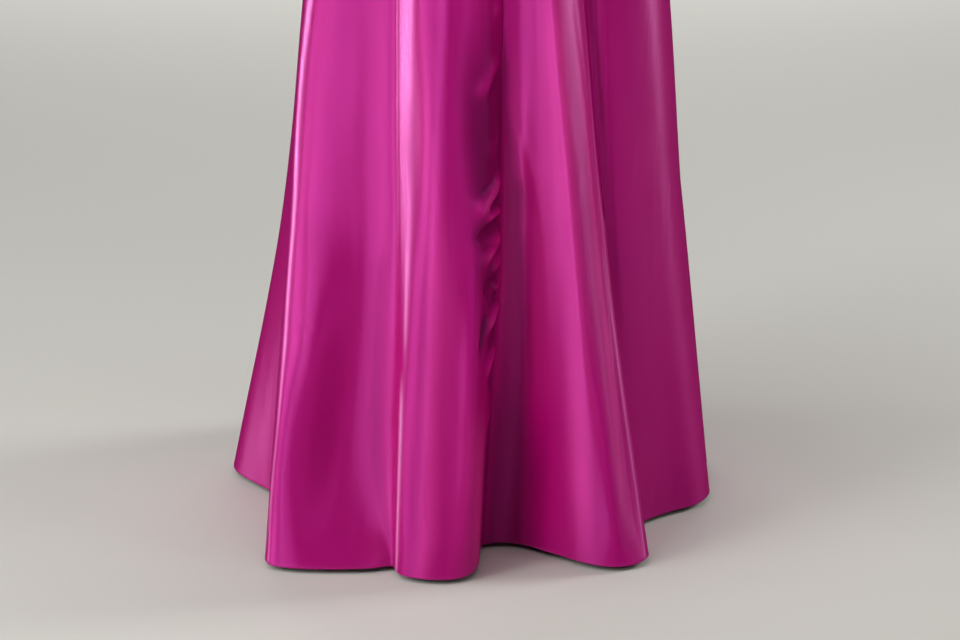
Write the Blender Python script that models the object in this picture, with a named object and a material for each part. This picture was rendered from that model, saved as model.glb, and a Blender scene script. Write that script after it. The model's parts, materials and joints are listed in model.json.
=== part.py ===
"""Floor-length evening gown in fuchsia duchess satin, worn form, no wearer.

A fitted bodice with bust and waist darts on two shoulder straps, sewn at the
waist to an A-line skirt of four flared gores. The gores hang in deep, soft,
vertical folds; the centre-front seam lies at the bottom of the deepest one.
An invisible zip closes the centre back.

Metres, +Z up. The gown faces -Y. The origin is midway between the tops of the
two shoulder straps, where the wearer's shoulders hold it. The tables below
give heights above the hem; LENGTH moves them down to the origin.
"""
import math

import bmesh
import bpy
import numpy as np
from mathutils import Vector

# ---------------------------------------------------------------- sizes (m)
LENGTH = 1.470          # strap top to hem
CLOTH = 0.0015          # wall of satin with its interlining
SEAM_GAP = 0.0003       # between two pieces at a seam
WAIST = 1.120           # height of the waist seam above the hem
HIP = 0.920
THIGH = 0.680
KNEE = 0.340

STRAP_WIDTH = 0.022
STRAP_X_TOP = 0.104     # where the strap crosses the shoulder
STRAP_X_FRONT = 0.092
STRAP_X_BACK = 0.084
STRAP_ROWS = 16

ZIP_LOW = 0.930         # bottom of the zip, above the hem
ZIP_WIDTH = 0.0056
ZIP_THICK = 0.0012
SLIDER_W, SLIDER_H, SLIDER_D = 0.0050, 0.0084, 0.0016
LOOP_W, LOOP_H, LOOP_D, LOOP_BAR = 0.0016, 0.0062, 0.0027, 0.0008
PULL_W, PULL_L, PULL_T = 0.0050, 0.0210, 0.0009

SATIN = (0.350, 0.004, 0.135)
METAL = (0.330, 0.020, 0.150)

# General figure that the gown is cut for: half width, depth in front of and
# behind the middle, at heights above the hem.
FIGURE = (
    # height  half_w  front  back
    (0.920, 0.186, 0.128, 0.142),
    (1.000, 0.166, 0.118, 0.126),
    (1.060, 0.145, 0.107, 0.104),
    (1.120, 0.130, 0.099, 0.088),
    (1.170, 0.131, 0.101, 0.088),
    (1.220, 0.137, 0.104, 0.093),
    (1.300, 0.149, 0.108, 0.101),
    (1.350, 0.152, 0.101, 0.103),
    (1.400, 0.150, 0.090, 0.100),
)

# Fold lines of the skirt in front and at the sides, from the left side seam
# round the front to the right side seam. Plan position in mm at the hem, the
# knee and the thigh; direction in degrees from centre front (+ to the right)
# at the hip and the waist; hip_out is how far it stands off the hip in mm.
FOLD_LINES = (
    # name           hem          knee          thigh       hip  waist hip_out
    ("left_side",   -330,  108,  -262,   82,   -218,   62,  -96, -91,   0),
    ("lb_turn",     -333,   62,  -263,   42,   -222,   26,  -88, -82,   0),
    ("lb_mid",      -309,   21,  -255,   10,   -221,   -8,  -82, -77,   0),
    ("lb_in",       -285,  -10,  -243,  -22,   -217,  -28,  -78, -73,  -1),
    ("l_valley",    -252,  -80,  -222,  -62,   -212,  -40,  -74, -69,  -3),
    ("l_under",     -252, -160,  -225, -118,   -212,  -58,  -70, -66,  -1),
    ("fl_edge",     -271, -227,  -243, -163,   -217,  -79,  -66, -62,   2),
    ("fl_shoulder", -264, -257,  -231, -184,   -204, -102,  -60, -58,   5),
    ("fl_crest",    -238, -268,  -202, -194,   -188, -113,  -52, -52,   4),
    ("fl_trough",   -189, -272,  -160, -197,   -158, -122,  -46, -45,   0),
    ("fl_rise",     -139, -269,  -140, -201,   -134, -129,  -38, -36,   0),
    ("fl_foot",     -115, -262,  -109, -211,   -109, -138,  -30, -27,  -1),
    ("ridge_edge",  -111, -276,  -102, -220,   -101, -149,  -28, -25,   3),
    ("ridge_bevel",  -104, -289,   -89, -236,    -82, -174,  -22, -21,   8),
    ("ridge_lit",    -79, -301,   -69, -247,    -64, -184,  -15, -16,  10),
    ("ridge_front",  -45, -303,   -34, -252,    -41, -192,   -9, -11,  11),
    ("ridge_roll",   -25, -292,   -13, -254,     -7, -187,   -3,  -6,   9),
    ("wall_a",       -13, -268,    -2, -236,      3, -178,    1,  -3,   3),
    ("wall_b",        -9, -230,     8, -210,     11, -170,    3,  -1,   0),
    ("front_seam",    -5, -197,    12, -186,     18, -163,    5,   0,  -2),
    ("floor",         22, -189,    22, -176,     22, -162,    6,   1,  -1),
    ("rf_a",          49, -199,    43, -177,     36, -163,    9,   4,   0),
    ("rf_wall",       79, -222,    70, -192,     51, -168,   12,   9,   3),
    ("rf_b",         117, -252,    94, -205,     63, -175,   15,  13,   7),
    ("rf_crest",     141, -263,   111, -212,     77, -181,   18,  17,   9),
    ("rf_dip",       160, -264,   123, -202,     87, -172,   21,  21,   9),
    ("rf_lip",       180, -256,   136, -177,    102, -149,   25,  25,   8),
    ("rf_edge",      196, -231,   147, -156,    115, -121,   29,  29,   5),
    ("rf_under",     187, -180,   146, -150,    120, -119,   33,  33,   1),
    ("r_valley",     186, -136,   146, -142,    125, -118,   38,  38,  -1),
    ("rb_out",       206, -110,   162, -136,    136, -120,   46,  46,   0),
    ("rb_mid",       236,  -84,   199, -101,    168, -102,   56,  57,   1),
    ("rb_lit",       268,  -62,   230,  -64,    200,  -66,   68,  70,   2),
    ("rb_turn",      288,  -20,   248,  -10,    220,    0,   82,  83,   1),
    ("right_side",   280,   28,   240,   28,    213,   32,   90,  90,   0),
)

# Folds behind, from the right side seam round the back to the left one. Each
# is a broad rounded ridge: plan position of its crest in mm at the hem and the
# thigh, its half width at the hem, its direction at the waist, and the depth
# and half width at the hem of the valley that follows it.
BACK_FOLDS = (
    # name      hem         thigh      half_w  waist  valley_depth, half_w
    ("b1",    286,  122,   206,   82,    46,   108,   36,  12),
    ("b2",    214,  240,   148,  142,    58,   132,   58,  11),
    ("b3",     78,  312,    52,  181,    54,   163,   44,  12),
    ("b4",    -66,  310,   -44,  180,    46,   193,   32,  15),
    ("b5",   -194,  276,  -128,  150,    58,   219,   60,  11),
    ("b6",   -292,  190,  -192,  100,    38,   245,   26,  12),
)
KNEE_SHARE = 0.46       # how far a back fold has drawn in at the knee

# Soft unevenness of the front folds: mm that the cloth stands back, at these heights.
UNEVEN_AT = (0.0, 0.05, 0.11, 0.18, 0.26, 0.34, 0.42, 0.50, 0.58, 0.66, 0.80)
UNEVEN = {
    "fl_edge":     (0, -8, -9, -4, 0, 2, 5, 2, 0, 0, 0),
    "fl_shoulder": (0, 4, 2, -2, -1, 3, 4, 4, 3, 0, 0),
    "fl_crest":    (0, 7, 8, 2, -4, 1, 4, 4, 4, 1, 0),
    "fl_trough":   (0, 18, 26, 22, 10, 2, 0, 0, 0, 0, 0),
    "fl_rise":     (0, 13, 19, 17, 9, 3, 1, 1, 0, 0, 0),
    "fl_foot":     (0, 0, 5, 5, 2, 0, 1, 1, 0, 0, 0),
    "ridge_edge":  (0, -4, -6, -6, -4, -3, 1, 3, 2, 2, 0),
    "ridge_bevel": (0, -3, -3, -3, -4, -5, -3, 0, -1, -1, 0),
    "ridge_lit":   (0, -3, -2, -3, -4, -6, -6, -5, -4, -1, 0),
    "ridge_front": (0, -4, -3, -4, -5, -6, -5, -4, -3, -1, 0),
    "ridge_roll":  (0, -9, -10, -8, -7, -4, 1, 5, 4, 1, 0),
    "rf_a":        (0, 2, 3, 3, 4, 3, 2, 1, 0, 0, 0),
    "rf_dip":      (0, -6, -5, -4, 0, 1, 0, 0, 0, 0, 0),
    "rf_lip":      (0, 6, 8, 6, 3, -1, -3, -4, -3, -1, 0),
    "rf_edge":     (0, 8, 6, 2, 1, 3, 2, 0, 0, 0, 0),
}

SKIRT_ROWS = (0.0, 0.10, 0.20, 0.30, 0.40, 0.50, 0.59, 0.68, 0.77, 0.85,
              0.92, 0.99, 1.055, 1.12)
FACET = 0.022           # aimed width of a cloth facet at the hem

# Top edge of the bodice: height above the hem by direction from the front.
TOP_EDGE = (
    # degrees  height
    (0, 1.352),
    (14, 1.362),
    (30, 1.378),
    (42, 1.386),
    (56, 1.370),
    (90, 1.330),
    (125, 1.334),
    (150, 1.338),
    (180, 1.334),
)
CUP = (34.0, 1.292, 0.027, 21.0, 0.050)    # degrees, height, out, spread deg, spread height
BODICE_FRONT_COLUMNS = 28
BODICE_BACK_COLUMNS = 12
BODICE_ROWS = 7

COLLECTION = "evening_gown"


# ---------------------------------------------------------------- small maths
def slopes(xs, ys):
    """Tangents for a smooth curve through uneven stations."""
    n = len(xs)
    out = []
    for i in range(n):
        lo, hi = max(i - 1, 0), min(i + 1, n - 1)
        out.append((ys[hi] - ys[lo]) / (xs[hi] - xs[lo]))
    return out


def through(x, xs, ys, ms=None):
    """Cubic curve through (xs, ys), read at x."""
    ms = ms or slopes(xs, ys)
    x = min(max(x, xs[0]), xs[-1])
    i = max(j for j in range(len(xs) - 1) if xs[j] <= x or j == 0)
    h = xs[i + 1] - xs[i]
    t = (x - xs[i]) / h
    return ((2 * t**3 - 3 * t**2 + 1) * ys[i] + (t**3 - 2 * t**2 + t) * h * ms[i]
            + (-2 * t**3 + 3 * t**2) * ys[i + 1] + (t**3 - t**2) * h * ms[i + 1])


def figure(height, degrees, out=0.0):
    """Point on the general figure, out metres off it."""
    zs = [row[0] for row in FIGURE]
    half, front, back = (through(height, zs, [row[k] for row in FIGURE]) for k in (1, 2, 3))
    a = math.radians(degrees)
    depth = front if math.cos(a) > 0 else back
    return (half + out) * math.sin(a), -(depth + out) * math.cos(a)


# ---------------------------------------------------------------- skirt
def skirt_lines():
    """Every fold line as (name, hem, knee, thigh, hip, waist) plan points."""
    lines = []
    for name, hx, hy, kx, ky, tx, ty, hip, waist, out in FOLD_LINES:
        mm = [Vector((v[0], v[1])) / 1000 for v in ((hx, hy), (kx, ky), (tx, ty))]
        lines.append([name, *mm, hip, waist, out / 1000])
    # behind: two shoulders of each ridge, then the floor of the valley after it
    ridges = []
    for name, hx, hy, tx, ty, half, waist, depth, floor in BACK_FOLDS:
        hem, thigh = Vector((hx, hy)) / 1000, Vector((tx, ty)) / 1000
        out = hem.normalized()
        along = Vector((-out.y, out.x))
        sides = [(hem + along * side * half * 0.55 / 1000 - out * 0.004,
                  thigh + along * side * half * 0.34 / 1000 - out * 0.002,
                  waist + side * 4.4) for side in (-1, 1)]
        ridges.append((name, sides, depth / 1000, floor / 1000))
    left = lines[0]
    behind = []
    for i, (name, sides, depth, floor) in enumerate(ridges):
        for tag, (hem, thigh, waist) in zip("ab", sides):
            behind.append((f"{name}_{tag}", hem, thigh, waist, 0.003))
        after = ridges[i + 1][1][0] if i + 1 < len(ridges) else (left[1], left[3], left[5] + 360)
        hem, thigh = (sides[1][0] + after[0]) / 2, (sides[1][1] + after[1]) / 2
        hem -= hem.normalized() * depth
        thigh -= thigh.normalized() * depth * 0.42
        waist = (sides[1][2] + after[2]) / 2
        out = hem.normalized()
        along = Vector((-out.y, out.x))
        for tag, side in (("u", -1), ("v", 1)):
            behind.append((f"{name}_{tag}", hem + along * side * floor,
                           thigh + along * side * floor * 0.4, waist + side * 1.2, -0.003))
    for name, hem, thigh, waist, out in behind:
        knee = hem.lerp(thigh, KNEE_SHARE)
        lines.append([name, hem, knee, thigh, waist, waist, out])
    return lines


def line_at(line, height):
    """Plan point of one fold line at a height."""
    name, hem, knee, thigh, hip, waist, out = line
    zs = [0.0, KNEE, THIGH, HIP, 1.02, WAIST]
    mid = hip + (waist - hip) * 0.5
    pts = [hem, knee, thigh, Vector(figure(HIP, hip, out)),
           Vector(figure(1.02, mid, out * 0.5)), Vector(figure(WAIST, waist))]
    back = through(height, UNEVEN_AT, UNEVEN[name]) / 1000 if name in UNEVEN else 0.0
    return Vector((through(height, zs, [p.x for p in pts]), through(height, zs, [p.y for p in pts]) + back))


def closed_curve(points, counts):
    """Smooth closed curve through the points, counts[i] samples per span."""
    out = []
    n = len(points)
    for i in range(n):
        p0, p1, p2, p3 = (points[(i + k) % n] for k in (-1, 0, 1, 2))
        k1, k2, k3 = (max((b - a).length, 1e-6) ** 0.5 for a, b in ((p0, p1), (p1, p2), (p2, p3)))
        m1 = ((p1 - p0) / k1 - (p2 - p0) / (k1 + k2) + (p2 - p1) / k2) * k2
        m2 = ((p2 - p1) / k2 - (p3 - p1) / (k2 + k3) + (p3 - p2) / k3) * k2
        for j in range(counts[i]):
            t = j / counts[i]
            out.append(p1 * (2 * t**3 - 3 * t**2 + 1) + m1 * (t**3 - 2 * t**2 + t)
                       + p2 * (-2 * t**3 + 3 * t**2) + m2 * (t**3 - t**2))
    return out


def offset_inward(ring, distance):
    """Closed plan curve (anticlockwise seen from below) moved in."""
    n = len(ring)
    out = []
    for i in range(n):
        a, b, c = ring[i - 1], ring[i], ring[(i + 1) % n]
        e1, e2 = (b - a).normalized(), (c - b).normalized()
        n1, n2 = Vector((-e1.y, e1.x)), Vector((-e2.y, e2.x))
        m = (n1 + n2).normalized()
        out.append(b + m * distance / max(m.dot(n1), 0.72))
    return out


def slide(ring_a, ring_b, i, j, gap):
    """The two walls' points at column i, moved gap along the cloth towards j."""
    d = ring_a[j] - ring_a[i]
    d = d.normalized() * gap
    return ring_a[i] + d, ring_b[i] + d


# ---------------------------------------------------------------- making meshes
def material(name, colour, roughness, metallic):
    mat = bpy.data.materials.new(name)
    mat.use_nodes = True
    bsdf = mat.node_tree.nodes["Principled BSDF"]
    bsdf.inputs["Base Color"].default_value = (*colour, 1.0)
    bsdf.inputs["Roughness"].default_value = roughness
    bsdf.inputs["Metallic"].default_value = metallic
    return mat


def place(name, mesh, mat, parts):
    obj = bpy.data.objects.new(name, mesh)
    obj.data.materials.append(mat)
    parts.objects.link(obj)
    return obj


def wall(name, outer, inner, mat, parts):
    """Cloth wall lofted between two grids of points, rows from the bottom up."""
    rows, cols = len(outer), len(outer[0])
    bm = bmesh.new()
    o = [[bm.verts.new((*p[:2], p[2] - LENGTH)) for p in row] for row in outer]
    i = [[bm.verts.new((*p[:2], p[2] - LENGTH)) for p in row] for row in inner]
    for r in range(rows - 1):
        for c in range(cols - 1):
            a, b, d, e = (r, c), (r, c + 1), (r + 1, c + 1), (r + 1, c)
            for g, order in ((o, (a, b, d, e)), (i, (e, d, b, a))):
                v = [g[p][q] for p, q in order]
                if (r + c) % 2:
                    v = v[1:] + v[:1]
                bm.faces.new((v[0], v[1], v[2]))
                bm.faces.new((v[0], v[2], v[3]))
    for c in range(cols - 1):
        bm.faces.new((o[0][c + 1], o[0][c], i[0][c], i[0][c + 1]))
        bm.faces.new((o[-1][c], o[-1][c + 1], i[-1][c + 1], i[-1][c]))
    for r in range(rows - 1):
        bm.faces.new((o[r][0], o[r + 1][0], i[r + 1][0], i[r][0]))
        bm.faces.new((o[r + 1][-1], o[r][-1], i[r][-1], i[r + 1][-1]))
    bmesh.ops.recalc_face_normals(bm, faces=bm.faces)
    mesh = bpy.data.meshes.new(name)
    bm.to_mesh(mesh)
    bm.free()
    return place(name, mesh, mat, parts)


def build_skirt(mat, parts):
    lines = skirt_lines()
    names = [line[0] for line in lines]
    hem = [line_at(line, 0.0) for line in lines]
    n = len(lines)
    counts = [max(1, min(4, round((hem[(i + 1) % n] - hem[i]).length / FACET))) for i in range(n)]
    starts = np.concatenate(([0], np.cumsum(counts))).astype(int)
    total = int(starts[-1])
    at = {name: int(starts[i]) for i, name in enumerate(names)}
    rings = []
    for z in SKIRT_ROWS:
        outer = closed_curve([line_at(line, z) for line in lines], counts)
        rings.append((z, outer, offset_inward(outer, CLOTH)))
    back = at["b3_v"]
    panels = (
        ("skirt_front_left", at["left_side"], at["front_seam"]),
        ("skirt_front_right", at["front_seam"], at["right_side"]),
        ("skirt_back_right", at["right_side"], back),
        ("skirt_back_left", back, at["left_side"] + total),
    )
    for name, first, last in panels:
        outer_rows, inner_rows = [], []
        for z, outer, inner in rings:
            if z == WAIST:
                z -= SEAM_GAP / 2
            idx = [k % total for k in range(first, last + 1)]
            o = [outer[k] for k in idx]
            i = [inner[k] for k in idx]
            o[0], i[0] = slide(outer, inner, idx[0], idx[1], SEAM_GAP / 2)
            o[-1], i[-1] = slide(outer, inner, idx[-1], idx[-2], SEAM_GAP / 2)
            outer_rows.append([(p.x, p.y, z) for p in o])
            inner_rows.append([(p.x, p.y, z) for p in i])
        wall(name, outer_rows, inner_rows, mat, parts)


# ---------------------------------------------------------------- bodice
def top_height(degrees):
    a = abs((degrees + 180) % 360 - 180)
    return through(a, [row[0] for row in TOP_EDGE], [row[1] for row in TOP_EDGE])


def bodice_point(degrees, height):
    """Outer face of the bodice: the figure with the two cups that the darts shape."""
    at, level, out, spread, tall = CUP
    a = (degrees + 180) % 360 - 180
    cup = sum(math.exp(-((a - s * at) / spread) ** 2) for s in (-1, 1))
    rise = math.exp(-((height - level) / (tall if height < level else tall * 1.25)) ** 2)
    return Vector(figure(height, degrees, out * cup * rise))


def bodice_ring(height_of, columns):
    return [bodice_point(a, height_of(a)) for a in columns]


def panel_grid(columns):
    """Outer and inner points of a bodice panel over the given directions."""
    outer_rows, inner_rows = [], []
    for r in range(BODICE_ROWS + 1):
        f = r / BODICE_ROWS
        row_o, row_i = [], []
        for a in columns:
            z0 = WAIST + SEAM_GAP / 2
            z = z0 + (top_height(a) - z0) * f
            p = bodice_point(a, z)
            d = bodice_point(a + 0.5, z) - bodice_point(a - 0.5, z)
            inward = Vector((-d.y, d.x)).normalized()
            q = p + inward * CLOTH
            row_o.append((p.x, p.y, z))
            row_i.append((q.x, q.y, z))
        outer_rows.append(row_o)
        inner_rows.append(row_i)
    return outer_rows, inner_rows


def build_bodice(mat, parts):
    gap = math.degrees(SEAM_GAP / 2 / 0.14)
    spread = lambda lo, hi, n: [lo + (hi - lo) * k / n for k in range(n + 1)]
    panels = (
        ("bodice_front", spread(-90 + gap, 90 - gap, BODICE_FRONT_COLUMNS)),
        ("bodice_back_right", spread(90 + gap, 180 - gap, BODICE_BACK_COLUMNS)),
        ("bodice_back_left", spread(180 + gap, 270 - gap, BODICE_BACK_COLUMNS)),
    )
    for name, columns in panels:
        wall(name, *panel_grid(columns), mat, parts)


def edge_point(degrees):
    """Outer top edge of the bodice and the inward direction there."""
    z = top_height(degrees)
    p = bodice_point(degrees, z)
    d = bodice_point(degrees + 0.5, z) - bodice_point(degrees - 0.5, z)
    inward = Vector((-d.y, d.x)).normalized()
    return Vector((p.x, p.y, z)), Vector((inward.x, inward.y, 0))


def edge_direction(x_target, lo, hi):
    """Direction at which the top edge is x_target from the middle."""
    for _ in range(40):
        mid = (lo + hi) / 2
        if edge_point(mid)[0].x < x_target:
            lo = mid
        else:
            hi = mid
    return mid


def strap_rows(side):
    """Outer and inner points of a strap, from the front edge over to the back."""
    front = edge_direction(STRAP_X_FRONT, 5, 89)
    back = edge_direction(STRAP_X_BACK, 175, 91)
    pf, pb = edge_point(front)[0], edge_point(back)[0]
    stations = (
        # share, x, y, z
        (0.00, pf.x, pf.y, pf.z),
        (0.22, pf.x + 0.003, pf.y + 0.014, pf.z + 0.036),
        (0.42, STRAP_X_TOP - 0.002, -0.032, LENGTH - 0.008),
        (0.55, STRAP_X_TOP, 0.000, LENGTH),
        (0.68, STRAP_X_TOP - 0.003, 0.034, LENGTH - 0.011),
        (0.84, (STRAP_X_TOP + pb.x) / 2, 0.072, (LENGTH + pb.z) / 2 + 0.006),
        (1.00, pb.x, pb.y, pb.z),
    )
    share = [s[0] for s in stations]
    path = [Vector([through(k / STRAP_ROWS, share, [s[c] for s in stations]) for c in (1, 2, 3)])
            for k in range(STRAP_ROWS + 1)]
    fractions = (-1, -0.5, 0, 0.5, 1)
    half = STRAP_WIDTH / 2
    outer_rows, inner_rows = [], []
    for k, p in enumerate(path):
        if k in (0, STRAP_ROWS):
            # the ends follow the top edge of the bodice
            middle, turn = (front, 1) if k == 0 else (back, -1)
            spread = math.degrees(half / Vector((p.x, p.y)).length)
            edge = [edge_point(middle + turn * f * spread) for f in fractions]
            lift = Vector((0, 0, SEAM_GAP * 1.6))
            row = [e[0] + lift for e in edge]
            under = [e[0] + lift + e[1] * CLOTH for e in edge]
        else:
            t = (path[k + 1] - path[k - 1]).normalized()
            across = (Vector((1, 0, 0)) - t * t.x).normalized()
            down = across.cross(t)
            if down.dot(Vector((0, 0, LENGTH - 0.12)) - p) < 0:
                down = -down
            row = [p + across * half * f for f in fractions]
            under = [q + down * CLOTH for q in row]
        outer_rows.append([(side * q.x, q.y, q.z) for q in row])
        inner_rows.append([(side * q.x, q.y, q.z) for q in under])
    return outer_rows, inner_rows


def build_straps(mat, parts):
    for side, name in ((-1, "strap_left"), (1, "strap_right")):
        wall(name, *strap_rows(side), mat, parts)


# ---------------------------------------------------------------- zip
def back_face(height):
    """y of the outer cloth at the centre back."""
    if height >= WAIST:
        return bodice_point(180, height).y
    lines = skirt_lines()
    names = [line[0] for line in lines]
    return line_at(lines[names.index("b3_v")], height).y


def back_x(height):
    if height >= WAIST:
        return 0.0
    lines = skirt_lines()
    names = [line[0] for line in lines]
    return line_at(lines[names.index("b3_v")], height).x


def build_zip(metal, parts):
    top = top_height(180) - 0.004
    # coil and tape behind the seam, inside the gown
    n = 18
    bm = bmesh.new()
    rows = []
    for k in range(n + 1):
        z = ZIP_LOW + (top - ZIP_LOW) * k / n
        y = back_face(z) - CLOTH - 0.0012
        x = back_x(z)
        rows.append([bm.verts.new((x + sx * ZIP_WIDTH / 2, y - d * ZIP_THICK, z - LENGTH))
                     for sx, d in ((-1, 0), (1, 0), (1, 1), (-1, 1))])
    for a, b in zip(rows, rows[1:]):
        for j in range(4):
            bm.faces.new((a[j], a[(j + 1) % 4], b[(j + 1) % 4], b[j]))
    bm.faces.new(rows[0][::-1])
    bm.faces.new(rows[-1])
    bmesh.ops.recalc_face_normals(bm, faces=bm.faces)
    mesh = bpy.data.meshes.new("zip_chain")
    bm.to_mesh(mesh)
    bm.free()
    place("zip_chain", mesh, metal, parts)

    # slider on the outer face, with the loop that its pull hangs from
    z_mid = top - 0.010
    face = max(back_face(z_mid + s * SLIDER_H / 2) for s in (-1, 0, 1)) + SEAM_GAP
    centre = Vector((0, face + SLIDER_D + LOOP_D / 2 - LOOP_BAR / 2, z_mid - LENGTH))

    def box(size, at):
        made = bmesh.new()
        bmesh.ops.create_cube(made, size=1.0)
        bmesh.ops.scale(made, vec=size, verts=made.verts)
        bmesh.ops.translate(made, vec=at, verts=made.verts)
        return made

    def add(name, made, collection):
        m = bpy.data.meshes.new(name)
        made.to_mesh(m)
        made.free()
        return place(name, m, metal, collection)

    cutters = bpy.data.collections.new("cutters")
    bpy.context.scene.collection.children.link(cutters)

    def helper(name, made):
        obj = add(name, made, cutters)
        obj.hide_render = True
        obj.display_type = "WIRE"
        return obj

    base = box((SLIDER_W, SLIDER_D, SLIDER_H), (0, face + SLIDER_D / 2, z_mid - LENGTH))
    slider = add("zip_slider", base, parts)
    loop = helper("slider_loop", box((LOOP_W, LOOP_D + LOOP_BAR, LOOP_H),
                                     (0, face + SLIDER_D + (LOOP_D - LOOP_BAR) / 2, z_mid - LENGTH)))
    eye = helper("slider_eye", box((LOOP_W * 3, LOOP_D - LOOP_BAR, LOOP_H - 2 * LOOP_BAR),
                                   (0, face + SLIDER_D + (LOOP_D - LOOP_BAR) / 2, z_mid - LENGTH)))
    for obj, operation in ((loop, "UNION"), (eye, "DIFFERENCE")):
        mod = slider.modifiers.new(obj.name, "BOOLEAN")
        mod.operation = operation
        mod.object = obj
        mod.solver = "EXACT"
    centre.y = face + SLIDER_D + (LOOP_D - LOOP_BAR) / 2

    # pull tab, hanging, its cross bar in the loop; its origin is the hinge
    pivot = bpy.data.objects.new("pull_pivot", None)
    pivot.location = centre
    parts.objects.link(pivot)
    bar = 0.0010
    tab = box((PULL_W, PULL_T, PULL_L), (0, 0, -PULL_L / 2 + bar / 2))
    pull = add("zip_pull", tab, parts)
    hole = helper("pull_hole", box((LOOP_W + 0.0010, PULL_T * 3, 0.0046),
                                   (0, 0, -0.0046 / 2 - bar / 2)))
    pull.parent = pivot
    hole.parent = pivot
    mod = pull.modifiers.new("hole", "BOOLEAN")
    mod.operation = "DIFFERENCE"
    mod.object = hole
    mod.solver = "EXACT"
    return centre


def main():
    for obj in list(bpy.data.objects):
        bpy.data.objects.remove(obj, do_unlink=True)
    parts = bpy.data.collections.new(COLLECTION)
    bpy.context.scene.collection.children.link(parts)
    satin = material("fuchsia_satin", SATIN, 0.38, 0.0)
    metal = material("zip_lacquer", METAL, 0.35, 0.6)
    build_skirt(satin, parts)
    build_bodice(satin, parts)
    build_straps(satin, parts)
    build_zip(metal, parts)


main()
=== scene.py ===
"""Looks of the fuchsia satin evening gown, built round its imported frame."""
import json
import math

import bmesh
import bpy
import numpy as np
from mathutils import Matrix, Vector

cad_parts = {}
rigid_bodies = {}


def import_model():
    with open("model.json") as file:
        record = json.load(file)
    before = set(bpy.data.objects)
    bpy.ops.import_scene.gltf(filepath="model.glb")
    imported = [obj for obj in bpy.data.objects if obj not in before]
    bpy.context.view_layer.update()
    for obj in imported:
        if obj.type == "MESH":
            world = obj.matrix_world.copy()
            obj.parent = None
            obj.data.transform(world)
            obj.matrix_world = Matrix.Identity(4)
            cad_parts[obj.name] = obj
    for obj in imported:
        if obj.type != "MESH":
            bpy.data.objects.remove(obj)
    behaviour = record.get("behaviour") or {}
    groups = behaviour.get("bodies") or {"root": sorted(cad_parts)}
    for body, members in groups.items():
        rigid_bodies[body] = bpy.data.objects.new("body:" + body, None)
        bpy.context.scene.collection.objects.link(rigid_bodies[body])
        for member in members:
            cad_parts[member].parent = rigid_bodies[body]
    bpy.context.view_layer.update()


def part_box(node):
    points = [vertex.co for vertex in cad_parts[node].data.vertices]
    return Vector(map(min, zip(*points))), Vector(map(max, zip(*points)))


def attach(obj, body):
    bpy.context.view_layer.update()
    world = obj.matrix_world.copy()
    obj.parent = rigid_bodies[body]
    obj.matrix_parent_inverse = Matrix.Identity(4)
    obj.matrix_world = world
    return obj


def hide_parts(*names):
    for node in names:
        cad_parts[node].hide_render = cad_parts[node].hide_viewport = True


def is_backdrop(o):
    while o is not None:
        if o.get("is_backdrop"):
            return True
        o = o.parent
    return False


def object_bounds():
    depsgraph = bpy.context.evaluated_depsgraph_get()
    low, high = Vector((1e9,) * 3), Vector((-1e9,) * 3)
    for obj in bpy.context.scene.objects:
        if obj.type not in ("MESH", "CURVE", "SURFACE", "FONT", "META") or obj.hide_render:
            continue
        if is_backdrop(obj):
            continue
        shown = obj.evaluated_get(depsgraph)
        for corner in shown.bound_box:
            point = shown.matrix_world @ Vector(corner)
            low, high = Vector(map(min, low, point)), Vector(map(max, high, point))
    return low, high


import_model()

# ------------------------------------------------------------------ sizes (m)
LENGTH = 1.470
WAIST, HIP, THIGH, KNEE = 1.120, 0.920, 0.680, 0.340
SEAM_GAP = 0.0003
FABRIC = 0.0010             # finished thickness of the satin shell
FLOOR_DROP = 0.006          # the hem clears the floor by this much

FIGURE = np.array((
    # height  half_w  front  back
    (0.920, 0.186, 0.128, 0.142),
    (1.000, 0.166, 0.118, 0.126),
    (1.060, 0.145, 0.107, 0.104),
    (1.120, 0.130, 0.099, 0.088),
    (1.170, 0.131, 0.101, 0.088),
    (1.220, 0.137, 0.104, 0.093),
    (1.300, 0.149, 0.108, 0.101),
    (1.350, 0.152, 0.101, 0.103),
    (1.400, 0.150, 0.090, 0.100),
))

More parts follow.
